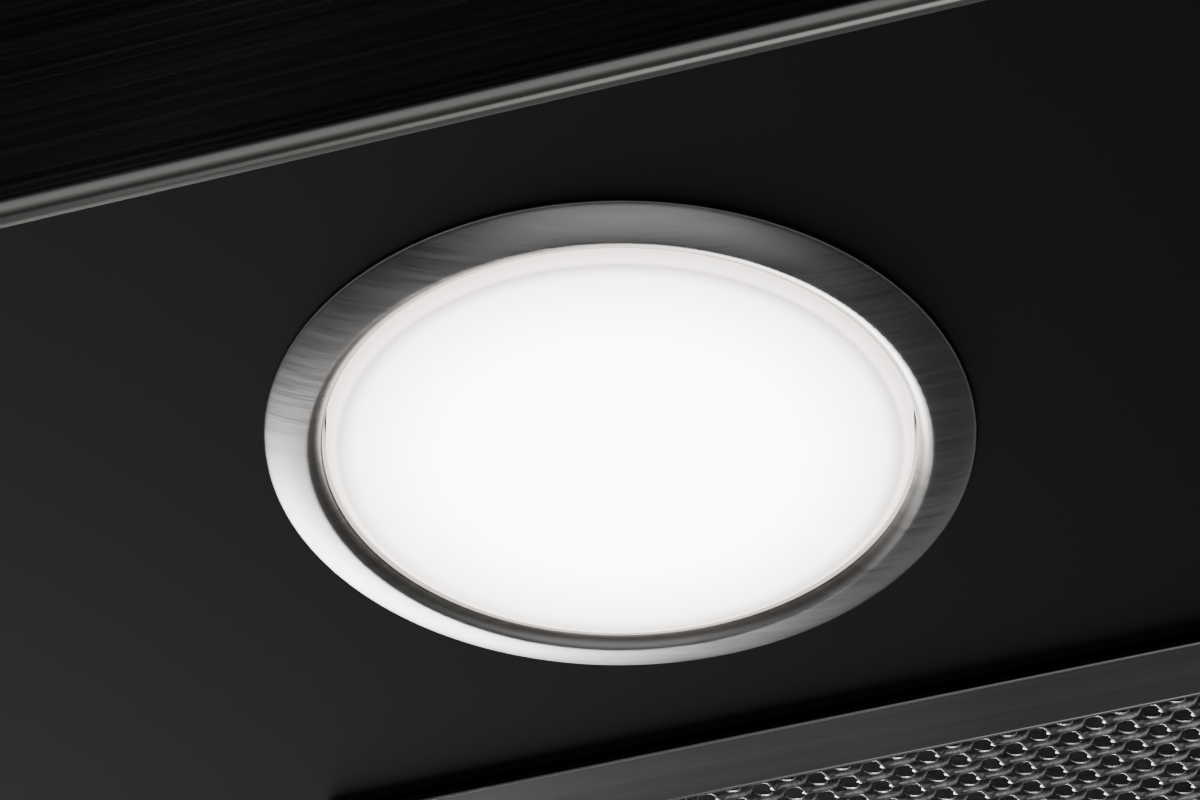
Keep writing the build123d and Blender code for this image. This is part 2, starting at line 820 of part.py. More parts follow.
def scroll_radius(angle, wall):
    """Spiral radius at an angle from +X, growing evenly from the tongue to a full turn."""
    tongue = acos((scroll_tongue_x - scroll_axis_x) / scroll_cut_radius)
    share = (angle - tongue) / (scroll_sweep - tongue)
    return scroll_cut_radius + (scroll_end_radius - scroll_cut_radius) * share + wall


scroll_floor_radius = scroll_radius(1.5 * pi, scroll_wall)
scroll_axis_z = canopy_top + scroll_floor_gap + scroll_floor_radius


def scroll_outline(wall, top):
    """Face of the scroll in the XZ plane: tongue wall, spiral, outer wall and the open top."""
    left = scroll_tongue_x - wall
    right = scroll_axis_x + scroll_end_radius + wall
    start = acos((left - scroll_axis_x) / (scroll_cut_radius + wall))
    angles = [start + (scroll_sweep - start) * i / (scroll_steps - 1) for i in range(scroll_steps)]
    spiral = [(scroll_axis_x + scroll_radius(a, wall) * cos(a), scroll_axis_z + scroll_radius(a, wall) * sin(a))
              for a in angles]
    curve = Spline(*spiral)
    lines = Polyline(spiral[-1], (right, top), (left, top), spiral[0])
    return make_face(Plane.XZ * (curve + lines))


def extrude_y(face, y):
    """Extrusion of a face in the XZ plane between two limits along Y."""
    solid = extrude(face, -(y[1] - y[0]))
    return Pos(0, y[0] - solid.bounding_box().min.Y, 0) * solid


def make_scroll_half(side):
    outside = side * scroll_half_width
    inside = side * (scroll_half_width - scroll_wall)
    body = extrude_y(scroll_outline(scroll_wall, scroll_top), sorted((0, outside)))
    body -= extrude_y(scroll_outline(0, scroll_top + 1), sorted((-side, inside)))
    body -= disc_y(inlet_radius, scroll_axis_x, mirrored((inside * side - 1, outside * side + 1), side),
                   scroll_axis_z)
    return body


def make_motor_box():
    body = slab((-box_x, box_x), (-box_y, box_y), (canopy_top, box_top))
    wall = motor_box_sheet
    body -= slab((-box_x + wall, box_x - wall), (-box_y + wall, box_y - wall), (canopy_top - 1, box_top - wall))
    body += frame_of((-box_x, box_x), (-box_y, box_y), motor_box_flange, (canopy_top, canopy_top + wall))
    left = scroll_tongue_x
    right = scroll_axis_x + scroll_end_radius
    reach = scroll_half_width - scroll_wall
    body -= slab((left, right), (-reach, reach), (scroll_top - 1, box_top + 1))
    for x, y in box_screw_places():
        body -= disc(box_screw_radius, x, y, (canopy_top - 1, canopy_top + wall + 1))
    return body


def box_screw_places():
    """Middles of the screws along the motor box's flange."""
    x, y = box_x + motor_box_flange / 2, box_y + motor_box_flange / 2
    along_x = [(2 * i / (box_screws_x - 1) - 1) * box_x * box_screw_reach_x for i in range(box_screws_x)]
    along_y = [(2 * i / (box_screws_y - 1) - 1) * box_y * box_screw_reach_y for i in range(box_screws_y)]
    places = [(px, s * y) for px in along_x for s in SIDES.values()]
    return places + [(s * x, py) for py in along_y for s in SIDES.values()]


def make_blower_screws():
    """Screws of the motor box's flange, and those of the motor bracket."""
    head_z = canopy_top + motor_box_sheet
    screws = [disc(box_screw_head, x, y, (head_z, head_z + box_screw_head_height))
              + disc(box_screw_radius, x, y, (canopy_top, head_z)) for x, y in box_screw_places()]
    for x, z in bracket_bolt_places():
        head = disc_y(box_screw_head, x, (bracket_face, bracket_face + bracket_screw_head_height), z)
        screws.append(head + disc_y(box_screw_radius, x, (scroll_half_width, bracket_face), z))
    return screws


def bracket_bolt_places():
    turns = [pi / 2 + 2 * pi * i / 3 for i in range(3)]
    return [(scroll_axis_x + bracket_bolt_circle * cos(a), scroll_axis_z + bracket_bolt_circle * sin(a))
            for a in turns]


def make_motor_can():
    end = motor_start + motor_length
    body = disc_y(motor_radius, scroll_axis_x, (motor_start, end), scroll_axis_z)
    body = fillet(body.edges().filter_by(GeomType.CIRCLE), motor_round)
    body -= disc_y(shaft_radius + shaft_hole_gap, scroll_axis_x, (motor_start - 1, end + 1), scroll_axis_z)
    for y in bearing_limits():
        body -= disc_y(bearing_radius, scroll_axis_x, y, scroll_axis_z)
    return body


def bearing_limits():
    end = motor_start + motor_length
    return [(motor_start, motor_start + bearing_width), (end - bearing_width, end)]


def make_motor_bearings():
    bearings = []
    for y in bearing_limits():
        outer = disc_y(bearing_radius, scroll_axis_x, y, scroll_axis_z)
        bearings.append(outer - disc_y(shaft_radius + shaft_clearance, scroll_axis_x, y, scroll_axis_z))
    return bearings


def make_motor_shaft():
    end = motor_start + motor_length + bracket_sheet
    return disc_y(shaft_radius, scroll_axis_x, (-wheel_hub_front, end), scroll_axis_z)


def make_motor_bracket():
    """Three-armed plate on rubber grommets that carries the motor in the rear inlet."""
    start = motor_start + motor_length
    arm_y = (bracket_face - bracket_sheet, bracket_face)
    body = disc_y(bracket_hub_radius, scroll_axis_x, (start, arm_y[1]), scroll_axis_z)
    reach = bracket_bolt_circle + grommet_radius
    arm = slab((0, reach), arm_y, (-bracket_arm_width / 2, bracket_arm_width / 2))
    for i in range(3):
        body += Pos(scroll_axis_x, 0, scroll_axis_z) * Rot(0, -90 - 120 * i, 0) * arm
    body -= disc_y(shaft_radius + shaft_hole_gap, scroll_axis_x, (start - 1, arm_y[1] + 1), scroll_axis_z)
    for x, z in bracket_bolt_places():
        body -= disc_y(box_screw_radius, x, (arm_y[0] - 1, arm_y[1] + 1), z)
    return body


def make_motor_grommets():
    y = (scroll_half_width, scroll_half_width + grommet_height)
    return [disc_y(grommet_radius, x, y, z) - disc_y(box_screw_radius, x, y, z)
            for x, z in bracket_bolt_places()]


def guard_grille(y):
    """Round grille of rings and spokes about the blower's axis, between two limits along Y."""
    body = None
    for i in range(guard_rings):
        outer = guard_radius * (i + 1) / guard_rings
        hoop = disc_y(outer, 0, y, 0) - disc_y(outer - guard_bar, 0, y, 0)
        body = hoop if body is None else body + hoop
    spoke = slab((guard_radius / guard_rings - guard_bar, guard_radius - guard_bar / 2), y,
                 (-guard_bar / 2, guard_bar / 2))
    for i in range(guard_spokes):
        body += Rot(0, 360 / guard_spokes * i, 0) * spoke
    return Pos(scroll_axis_x, 0, scroll_axis_z) * body


def make_inlet_guard_front():
    return guard_grille((-scroll_half_width - guard_sheet, -scroll_half_width))


def make_inlet_guard_rear():
    """The rear guard stands on a rim, to clear the motor's bracket."""
    low = bracket_face + bracket_screw_head_height + guard_gap
    body = guard_grille((low, low + guard_sheet))
    rim = disc_y(guard_radius, scroll_axis_x, (scroll_half_width, low + guard_sheet), scroll_axis_z)
    rim -= disc_y(guard_radius - guard_rim, scroll_axis_x, (scroll_half_width - 1, low + guard_sheet + 1),
                  scroll_axis_z)
    return body + rim


def make_impeller():
    """Double-inlet wheel: a middle disc, forward-curved blades and an end ring on each side."""
    half = wheel_half_length
    body = disc_y(wheel_radius - wheel_disc_inset, 0, (-wheel_disc / 2, wheel_disc / 2), 0)
    body += disc_y(wheel_hub_radius, 0, (-wheel_hub_front, wheel_hub_rear), 0)
    for s in SIDES.values():
        y = mirrored((half - wheel_ring, half), s)
        body += disc_y(wheel_radius, 0, y, 0) - disc_y(wheel_inner_radius, 0, y, 0)
    middle = (wheel_radius + wheel_inner_radius) / 2
    reach = (wheel_radius - wheel_inner_radius) / 2
    blade = Pos(middle, 0, 0) * Rot(0, blade_tilt, 0) * slab((-reach, reach), (-half, half),
                                                            (-blade_sheet / 2, blade_sheet / 2))
    blades = [Rot(0, 360 / blade_count * i, 0) * blade for i in range(blade_count)]
    body = body.fuse(*blades)
    body -= disc_y(shaft_radius, 0, (-wheel_hub_front - 1, wheel_hub_rear + 1), 0)
    return Pos(scroll_axis_x, 0, scroll_axis_z) * body


# ---- Outlet ----
def make_outlet_collar():
    """Spigot for a round duct, with a ledge that the flaps close on."""
    half = collar_flange_width / 2
    body = slab((-half, half), (-half, half), (box_top, box_top + collar_flange_sheet))
    body += disc(collar_radius, 0, 0, (box_top, collar_top))
    body -= disc(collar_bore, 0, 0, (box_top - 1, collar_top + 1))
    ledge_top = flap_z - flap_sheet / 2 - flap_rest_gap
    ledge_z = (ledge_top - flap_ledge_thickness, ledge_top)
    ledge = disc(collar_bore, 0, 0, ledge_z) - disc(collar_bore - flap_ledge, 0, 0, ledge_z)
    clear = knuckle_radius + flap_edge_gap
    ledge -= slab((-collar_radius, collar_radius), (-clear, clear), ledge_z)
    for part in ledge.solids():
        body += part
    body -= disc_x(flap_pin_radius, (-collar_radius - 1, collar_radius + 1), 0, flap_z)
    return body


def make_flap_pin():
    reach = collar_radius - flap_rest_gap
    return disc_x(flap_pin_radius, (-reach, reach), 0, flap_z)


def make_flap(side):
    """Half disc with two hinge knuckles, which alternate with the other flap's."""
    z = (flap_z - flap_sheet / 2, flap_z + flap_sheet / 2)
    radius = collar_bore - flap_edge_gap
    far = mirrored((flap_start, radius), side)
    body = disc(radius, 0, 0, z) & slab((-radius, radius), far, z)
    for middle in knuckle_places[side]:
        x = (middle - knuckle_length / 2, middle + knuckle_length / 2)
        body += disc_x(knuckle_radius, x, 0, flap_z)
        body += slab(x, mirrored((knuckle_radius / 2, flap_start + 1), side), z)
    body -= disc_x(flap_pin_radius + shaft_clearance, (-radius, radius), 0, flap_z)
    return body


# ---- Electronics ----
def make_electronics_box():
    x = ebox_width / 2
    y = (box_y, box_y + ebox_depth)
    z = (ebox_z, ebox_z + ebox_height)
    t = ebox_sheet
    body = slab((-x, x), y, z)
    body -= slab((-x + t, x - t), (y[0] + t, y[1] + 1), (z[0] + t, z[1] - t))
    body -= disc(gland_radius, gland_x, box_y + ebox_depth / 2, (z[1] - t - 1, z[1] + 1))
    return body


def make_electronics_lid():
    y = box_y + ebox_depth
    x = ebox_width / 2
    return slab((-x, x), (y, y + ebox_sheet), (ebox_z, ebox_z + ebox_height))


def make_circuit_board():
    """Power board with its relays and transformer, on four posts."""
    x = ebox_width / 2 - main_board_margin
    y = box_y + ebox_sheet + main_board_lift
    z = (ebox_z + main_board_margin, ebox_z + ebox_height - main_board_top_margin)
    body = slab((-x, x), (y, y + main_board_sheet), z)
    for sx in SIDES.values():
        for level in (z[0] + board_post_inset, z[1] - board_post_inset):
            body += disc_y(board_post_radius, sx * (x - board_post_inset), (box_y + ebox_sheet, y), level)
    face = y + main_board_sheet
    for px, width, height in board_parts:
        body += slab((px - width / 2, px + width / 2), (face, face + board_part_depth),
                     (z[0] + board_part_lift, z[0] + board_part_lift + height))
    return body


def make_motor_capacitor():
    z = box_top + capacitor_radius
    half = capacitor_length / 2
    body = disc_y(capacitor_radius, capacitor_x, (-half, half), z)
    foot_x = (capacitor_x - capacitor_foot, capacitor_x + capacitor_foot)
    return body + slab(foot_x, (-half / 2, half / 2), (box_top, z))


def make_cable_gland():
    y = box_y + ebox_depth / 2
    top = ebox_z + ebox_height
    wall = top - ebox_sheet
    low = wall - gland_nut_height - gland_tail
    body = disc(gland_radius, gland_x, y, (low, low + gland_length))
    nut = RegularPolygon(gland_nut_radius, 6)
    body += Pos(gland_x, y, wall - gland_nut_height) * extrude(nut, gland_nut_height)
    body += Pos(gland_x, y, top) * extrude(nut, gland_nut_height)
    return body - disc(gland_bore, gland_x, y, (low - 1, low + gland_length + 1))


# ---- Everything, one file per node ----
os.makedirs("parts", exist_ok=True)

write("ceiling_plate", make_ceiling_plate())
write("upper_frame", *make_upper_frame())
write("upper_chimney", make_upper_chimney())
write("chimney_screws", *make_chimney_screws())

write("lower_frame", make_lower_frame())
write("frame_bolts", *make_frame_bolts())
write("lower_chimney", make_lower_chimney())
write("canopy_shell", make_canopy_shell())
write("underside_panel", make_underside_panel())
write("catch_springs", *make_catch_springs())

write("motor_box", make_motor_box())
write("blower_screws", *make_blower_screws())
write("scroll_front", make_scroll_half(-1))
write("scroll_rear", make_scroll_half(1))
write("inlet_guard_front", make_inlet_guard_front())
write("inlet_guard_rear", make_inlet_guard_rear())
write("motor_can", make_motor_can())
write("motor_bearings", *make_motor_bearings())
write("motor_bracket", make_motor_bracket())
write("motor_grommets", *make_motor_grommets())
write("motor_shaft", make_motor_shaft())
write("impeller", make_impeller())

write("outlet_collar", make_outlet_collar())
write("flap_pin", make_flap_pin())
write("flap_front", make_flap(-1))
write("flap_rear", make_flap(1))

write("electronics_box", make_electronics_box())
write("electronics_lid", make_electronics_lid())
write("circuit_board", make_circuit_board())
write("motor_capacitor", make_motor_capacitor())
write("cable_gland", make_cable_gland())

write("control_fascia", make_control_fascia())
write("switch_board", make_switch_board())
for number in range(button_count):
    write(f"button_{number + 1}", make_button(number))

lamp_places = {name: (sx * lamp_x, sy * lamp_y) for name, (sx, sy) in CORNERS.items()}
for name, place in lamp_places.items():
    write(f"lamp_bezel_{name}", make_lamp_bezel(*place))
    write(f"lamp_lens_{name}", make_lamp_lens(*place))
write("lamp_cans", *[make_lamp_can(*place) for place in lamp_places.values()])
write("led_boards", *[make_led_board(*place) for place in lamp_places.values()])
write("lamp_clips", *[clip for place in lamp_places.values() for clip in make_lamp_clips(*place)])

for name, side in SIDES.items():
    write(f"filter_frame_{name}", make_filter_frame(side))
    write(f"filter_mesh_{name}", make_filter_mesh(side))
    write(f"latch_housing_{name}", make_latch_housing(side))
    write(f"latch_slider_{name}", make_latch_slider(side))
    write(f"latch_spring_{name}", *make_latch_springs(side))
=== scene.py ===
from math import cos, pi, radians, sin

import bmesh
import bpy
import numpy as np
from bpy.props import FloatProperty, FloatVectorProperty, PointerProperty
from mathutils import Matrix, Vector


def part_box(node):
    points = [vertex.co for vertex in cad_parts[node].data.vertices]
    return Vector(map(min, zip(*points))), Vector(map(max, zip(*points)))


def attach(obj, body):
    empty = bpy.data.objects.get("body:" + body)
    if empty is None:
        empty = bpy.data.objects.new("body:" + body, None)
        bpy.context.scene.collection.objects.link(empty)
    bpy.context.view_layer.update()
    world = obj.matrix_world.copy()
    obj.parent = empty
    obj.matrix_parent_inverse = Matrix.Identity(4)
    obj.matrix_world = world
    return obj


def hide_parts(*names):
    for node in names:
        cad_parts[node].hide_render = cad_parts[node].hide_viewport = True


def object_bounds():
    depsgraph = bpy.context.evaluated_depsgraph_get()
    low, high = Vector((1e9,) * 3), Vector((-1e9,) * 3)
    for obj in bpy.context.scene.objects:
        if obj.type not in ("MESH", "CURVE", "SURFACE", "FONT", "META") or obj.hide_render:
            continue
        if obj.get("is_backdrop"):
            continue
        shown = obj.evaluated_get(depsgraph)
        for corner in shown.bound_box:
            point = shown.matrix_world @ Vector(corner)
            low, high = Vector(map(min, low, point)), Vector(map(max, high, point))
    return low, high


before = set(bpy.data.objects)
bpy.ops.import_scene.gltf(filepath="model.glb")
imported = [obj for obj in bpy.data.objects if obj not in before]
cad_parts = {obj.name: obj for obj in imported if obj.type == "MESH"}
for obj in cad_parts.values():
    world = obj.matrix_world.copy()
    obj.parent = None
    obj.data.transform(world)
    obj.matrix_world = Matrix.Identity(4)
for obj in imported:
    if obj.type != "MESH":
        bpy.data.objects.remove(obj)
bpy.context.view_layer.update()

bl_info = {
    "name": "Island Range Hood",
    "version": (1, 0, 0),
    "blender": (4, 5, 0),
    "location": "3D View > Sidebar > Range Hood",
    "description": "Builds the finishes, lamps and filters of an island range hood round its packed frame",
    "category": "Object",
}

MM = 0.001
CORNERS = ("front_left", "front_right", "rear_left", "rear_right")
SIDES = ("left", "right")


# ---------------------------------------------------------------- settings
class LampSettings(bpy.types.PropertyGroup):
    """Sizes and light of the round lamps."""

    crest_radius: FloatProperty(name="Crest radius", description="Radius of the bezel's highest line",
                                default=30.75 * MM, unit="LENGTH")
    crest_height: FloatProperty(name="Crest height", description="Bezel's height over the panel",
                                default=1.6 * MM, unit="LENGTH")
    edge_height: FloatProperty(name="Edge height", description="Height of the bezel's rounded outer edge",
                               default=0.3 * MM, unit="LENGTH")
    lip_height: FloatProperty(name="Lip height", description="Bezel's height beside the lens",
                              default=0.9 * MM, unit="LENGTH")
    lens_shoulder: FloatProperty(name="Lens shoulder", description="Width of the lens's slanted edge",
                                 default=0.95 * MM, unit="LENGTH")
    lens_colour: FloatVectorProperty(name="Lens colour", description="Light of the lens's middle",
                                     default=(1.0, 0.975, 0.94), subtype="COLOR", min=0.0, max=1.0)
    lens_edge_colour: FloatVectorProperty(name="Lens edge colour", description="Light of the lens's rim",
                                          default=(1.0, 0.90, 0.84), subtype="COLOR", min=0.0, max=1.0)
    lens_light: FloatProperty(name="Lens light", description="Emission strength of the lens", default=11.0)


class FilterSettings(bpy.types.PropertyGroup):
    """Sizes of the expanded metal in the filters."""

    pitch: FloatProperty(name="Pitch", description="Length of one mesh cell along its row",
                         default=6.03 * MM, unit="LENGTH")
    row_spacing: FloatProperty(name="Row spacing", description="Distance from one strand row to the next",
                               default=1.71 * MM, unit="LENGTH")
    land_width: FloatProperty(name="Land width", description="Width of a strand between two holes",
                              default=0.67 * MM, unit="LENGTH")
    hole_radius: FloatProperty(name="Hole radius", description="Radius of the mesh holes at their lips",
                               default=1.12 * MM, unit="LENGTH")
    flange_width: FloatProperty(name="Flange width", description="Width of the frame round the mesh",
                                default=8.5 * MM, unit="LENGTH")
    edge_bead: FloatProperty(name="Edge bead", description="Radius of the rolled edges of the filter frame",
                             default=0.28 * MM, unit="LENGTH")


class FinishSettings(bpy.types.PropertyGroup):
    """Colours of the hood's surfaces."""

    steel: FloatVectorProperty(name="Steel", description="Brushed stainless steel",
                               default=(0.56, 0.55, 0.53), subtype="COLOR", min=0.0, max=1.0)
    panel: FloatVectorProperty(name="Panel", description="Matt charcoal of the underside",
                               default=(0.0110, 0.0112, 0.0117), subtype="COLOR", min=0.0, max=1.0)
    aluminium: FloatVectorProperty(name="Aluminium", description="Filter frames and mesh",
                                   default=(0.46, 0.46, 0.455), subtype="COLOR", min=0.0, max=1.0)
    zinc: FloatVectorProperty(name="Zinc", description="Galvanised sheet",
                              default=(0.50, 0.51, 0.52), subtype="COLOR", min=0.0, max=1.0)


class StudioSettings(bpy.types.PropertyGroup):
    """Floor, lights and camera."""

    focal_length: FloatProperty(name="Focal length", description="Lens of the camera in millimetres",
                                default=182.0)
    pitch: FloatProperty(name="Pitch", description="Camera's upward tilt", default=radians(40.94),
                         subtype="ANGLE")
    yaw: FloatProperty(name="Yaw", description="Camera's turn from the hood's long axis",
                       default=radians(18.43), subtype="ANGLE")
    distance: FloatProperty(name="Distance", description="Camera to lamp, along the view",
                            default=0.5961, unit="LENGTH")
    shift_right: FloatProperty(name="Right", description="Lamp's place to the right of the view's middle",
                               default=1.99 * MM, unit="LENGTH")
    shift_down: FloatProperty(name="Down", description="Lamp's place below the view's middle",
                              default=4.16 * MM, unit="LENGTH")
    floor_drop: FloatProperty(name="Floor", description="Floor below the hood", default=1.5, unit="LENGTH")


# ---------------------------------------------------------------- surfaces
def grid_faces(rows, columns, wrap_rows=False, wrap_columns=False):
    """Quads of a grid of rows x columns points, row by row; a wrapped direction joins its end to its start."""
    i = np.arange(rows if wrap_rows else rows - 1)
    j = np.arange(columns if wrap_columns else columns - 1)
    a, b = (v.ravel() for v in np.meshgrid(i, j, indexing="ij"))
    c, d = (a + 1) % rows, (b + 1) % columns
    return np.stack([a * columns + b, a * columns + d, c * columns + d, c * columns + b], axis=1)


def add_piece(name, points, faces, material, body=None, replaces=(), weld=False, smooth=True):
    """Makes a mesh object from point and face arrays, dresses it and lets it ride on a body."""
    mesh = bpy.data.meshes.new(name)
    mesh.from_pydata(points.reshape(-1, 3).tolist(), [], faces.tolist())
    mesh.materials.append(material)
    mesh.validate()
    if weld:
        shell = bmesh.new()
        shell.from_mesh(mesh)
        bmesh.ops.remove_doubles(shell, verts=shell.verts, dist=1e-7)
        bmesh.ops.recalc_face_normals(shell, faces=shell.faces)
        shell.to_mesh(mesh)
        shell.free()
    mesh.polygons.foreach_set("use_smooth", [smooth] * len(mesh.polygons))
    piece = bpy.data.objects.new(name, mesh)
    bpy.context.scene.collection.objects.link(piece)
    if body is None:
        piece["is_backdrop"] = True
        return piece
    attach(piece, body)
    if replaces:
        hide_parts(*replaces)
    return piece


def arc(centre, radius, start, end, count):
    """Points of a circle's arc in a plane, from one angle to another in radians."""
    angle = np.linspace(start, end, count)
    return np.stack([centre[0] + radius * np.cos(angle), centre[1] + radius * np.sin(angle)], axis=1)


def revolve(profile, centre, segments):
    """Profile points (radius, height) turned round a vertical axis: x = r cos a, y = r sin a, z = height."""
    angle = np.linspace(0, 2 * pi, segments, endpoint=False)[:, None]
    r, h = profile[:, 0], profile[:, 1]
    x, y = centre[0] + r * np.cos(angle), centre[1] + r * np.sin(angle)
    return np.stack([x, y, np.broadcast_to(centre[2] + h, x.shape)], axis=2)


def middle_of(node):
    low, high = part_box(node)
    return (low + high) / 2


# ---------------------------------------------------------------- shader groups
def group_socket(group, name, way, kind, default=None):
    """Adds a named input or output to a shader node group."""
    socket = group.interface.new_socket(name=name, in_out=way, socket_type=kind)
    if default is not None:
        socket.default_value = default
    return socket


def new_group(name, inputs, outputs):
    """Empty shader node group with its input and output nodes."""
    group = bpy.data.node_groups.new(name, "ShaderNodeTree")
    for label, kind, default in inputs:
        group_socket(group, label, "INPUT", kind, default)
    for label, kind in outputs:
        group_socket(group, label, "OUTPUT", kind)
    return group, group.nodes.new("NodeGroupInput"), group.nodes.new("NodeGroupOutput")


def add_node(tree, kind, **values):
    """Node of a kind, with its sockets set by name or its own settings."""
    node = tree.nodes.new(kind)
    for key, value in values.items():
        label = key.replace("_", " ").title()
        if label in node.inputs:
            node.inputs[label].default_value = value
        else:
            setattr(node, key, value)
    return node


def math_node(tree, operation, first, second=None, clamp=False):
    """Math node; each operand is a number or a socket."""
    node = tree.nodes.new("ShaderNodeMath")
    node.operation = operation
    node.use_clamp = clamp
    for socket, value in zip(node.inputs, (first, second)):
        if value is None:
            continue
        if isinstance(value, (int, float)):
            socket.default_value = value
        else:
            tree.links.new(value, socket)
    return node.outputs[0]


def map_range(tree, value, low, high, to_low=0.0, to_high=1.0, smooth=True):
    """Remaps a value from one range to another."""
    node = tree.nodes.new("ShaderNodeMapRange")
    node.interpolation_type = "SMOOTHSTEP" if smooth else "LINEAR"
    tree.links.new(value, node.inputs["Value"])
    for label, number in (("From Min", low), ("From Max", high), ("To Min", to_low), ("To Max", to_high)):
        node.inputs[label].default_value = number
    return node.outputs["Result"]


def make_grain_group():
    """Brushed grain: streaks from fine noise over stretched coordinates, with their bump."""
    group, source, sink = new_group(
        "brushed_grain",
        [("Vector", "NodeSocketVector", None), ("Depth", "NodeSocketFloat", 0.05)],
        [("Streaks", "NodeSocketFloat"), ("Normal", "NodeSocketVector")])
    link = group.links.new
    coarse = add_node(group, "ShaderNodeTexNoise", scale=1.0, detail=3.0, roughness=0.6)
    fine = add_node(group, "ShaderNodeTexNoise", scale=3.1, detail=2.0, roughness=0.7)
    for noise in (coarse, fine):
        link(source.outputs["Vector"], noise.inputs["Vector"])
    both = math_node(group, "ADD", math_node(group, "MULTIPLY", coarse.outputs[0], 0.6),
                     math_node(group, "MULTIPLY", fine.outputs[0], 0.4))
    bump = add_node(group, "ShaderNodeBump", distance=0.0001)
    link(both, bump.inputs["Height"])
    link(source.outputs["Depth"], bump.inputs["Strength"])
    link(map_range(group, both, 0.30, 0.70), sink.inputs["Streaks"])
    link(bump.outputs["Normal"], sink.inputs["Normal"])
    return group


def make_handling_group():
    """Handling marks: broad soft smudges and sparse dust specks."""
    group, source, sink = new_group(
        "handling_marks",
        [("Vector", "NodeSocketVector", None), ("Size", "NodeSocketFloat", 9.0)],
        [("Smudges", "NodeSocketFloat"), ("Specks", "NodeSocketFloat")])
    link = group.links.new
    broad = add_node(group, "ShaderNodeTexNoise", detail=4.0, roughness=0.55, distortion=0.6)
    link(source.outputs["Vector"], broad.inputs["Vector"])
    link(source.outputs["Size"], broad.inputs["Scale"])
    specks = add_node(group, "ShaderNodeTexVoronoi", scale=160.0)
    link(source.outputs["Vector"], specks.inputs["Vector"])
    link(map_range(group, broad.outputs[0], 0.35, 0.70), sink.inputs["Smudges"])
    link(map_range(group, specks.outputs["Distance"], 0.05, 0.10, 1.0, 0.0), sink.inputs["Specks"])
    return group


def make_grit_group():
    """Moulded or painted grit: small even bumps."""
    group, source, sink = new_group(
        "surface_grit",
        [("Vector", "NodeSocketVector", None), ("Size", "NodeSocketFloat", 900.0),
         ("Depth", "NodeSocketFloat", 0.1)],
        [("Grit", "NodeSocketFloat"), ("Normal", "NodeSocketVector")])
    link = group.links.new
    noise = add_node(group, "ShaderNodeTexNoise", detail=3.0, roughness=0.6)
    link(source.outputs["Vector"], noise.inputs["Vector"])
    link(source.outputs["Size"], noise.inputs["Scale"])
    bump = add_node(group, "ShaderNodeBump", distance=0.0002)
    link(noise.outputs[0], bump.inputs["Height"])
    link(source.outputs["Depth"], bump.inputs["Strength"])
    link(noise.outputs[0], sink.inputs["Grit"])
    link(bump.outputs["Normal"], sink.inputs["Normal"])
    return group


GROUPS = {}


def shared_group(name):
    """Shader group by name, built the first time it is asked for."""
    makers = {"grain": make_grain_group, "handling": make_handling_group, "grit": make_grit_group}
    if name not in GROUPS:
        GROUPS[name] = makers[name]()
    return GROUPS[name]


def place_group(tree, name, vector, **values):
    """Puts a shared group into a material, with its own values."""
    node = tree.nodes.new("ShaderNodeGroup")
    node.node_tree = shared_group(name)
    tree.links.new(vector, node.inputs["Vector"])
    for key, value in values.items():
        node.inputs[key.title()].default_value = value
    return node


# ---------------------------------------------------------------- materials
def start_material(name, **shader_values):
    """Material with a Principled shader whose constant sockets are set by name."""
    material = bpy.data.materials.new(name)
    material.use_nodes = True
    tree = material.node_tree
    shader = tree.nodes["Principled BSDF"]
    for key, value in shader_values.items():
        shader.inputs[key.replace("_", " ").title().replace("Ior", "IOR")].default_value = value
    return material, tree, shader


def object_vector(tree, scale=(1, 1, 1), turn=0.0, place=(0, 0, 0)):
    """Object coordinates, moved, turned about the vertical and stretched."""
    coordinates = tree.nodes.new("ShaderNodeTexCoord")
    turned = tree.nodes.new("ShaderNodeMapping")
    turned.vector_type = "TEXTURE"
    turned.inputs["Location"].default_value = place
    turned.inputs["Rotation"].default_value = (0, 0, turn)
    tree.links.new(coordinates.outputs["Object"], turned.inputs["Vector"])
    stretched = tree.nodes.new("ShaderNodeMapping")
    stretched.inputs["Scale"].default_value = scale
    tree.links.new(turned.outputs["Vector"], stretched.inputs["Vector"])
    return stretched.outputs["Vector"]


def tinted(tree, colour, mask, low, high):
    """Colour scaled between two brightnesses by a mask."""
    level = map_range(tree, mask, 0.0, 1.0, low, high, smooth=False)
    mix = tree.nodes.new("ShaderNodeVectorMath")
    mix.operation = "SCALE"
    mix.inputs[0].default_value = colour
    tree.links.new(level, mix.inputs["Scale"])
    return mix.outputs[0]


def side_or_front(tree, front, side):
    """Picks the second vector on the canopy's left and right walls and their hems, and the first elsewhere."""
    hem_reach = 2.2 * MM
    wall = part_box("canopy_shell")[1].x - hem_reach
    place = tree.nodes.new("ShaderNodeSeparateXYZ")
    tree.links.new(object_vector(tree), place.inputs[0])
    on_side = math_node(tree, "GREATER_THAN", math_node(tree, "ABSOLUTE", place.outputs["X"]), wall)
    mix = tree.nodes.new("ShaderNodeMix")
    mix.data_type = "VECTOR"
    tree.links.new(on_side, mix.inputs["Factor"])
    tree.links.new(front, mix.inputs[4])
    tree.links.new(side, mix.inputs[5])
    return mix.outputs[1]


def brush(parts, colour, vector, roughness=(0.18, 0.26), depth=0.08):
    """Finishes a metal whose grain follows the given stretched coordinates."""
    material, tree, shader = parts
    grain = place_group(tree, "grain", vector, depth=depth)
    marks = place_group(tree, "handling", object_vector(tree), size=7.0)
    link = tree.links.new
    link(tinted(tree, colour, grain.outputs["Streaks"], 0.90, 1.06), shader.inputs["Base Color"])
    rough = map_range(tree, grain.outputs["Streaks"], 0.0, 1.0, roughness[0], roughness[1], smooth=False)
    smear = math_node(tree, "MULTIPLY", marks.outputs["Smudges"], 0.05)
    link(math_node(tree, "ADD", rough, smear, clamp=True), shader.inputs["Roughness"])
    link(grain.outputs["Normal"], shader.inputs["Normal"])
    return material


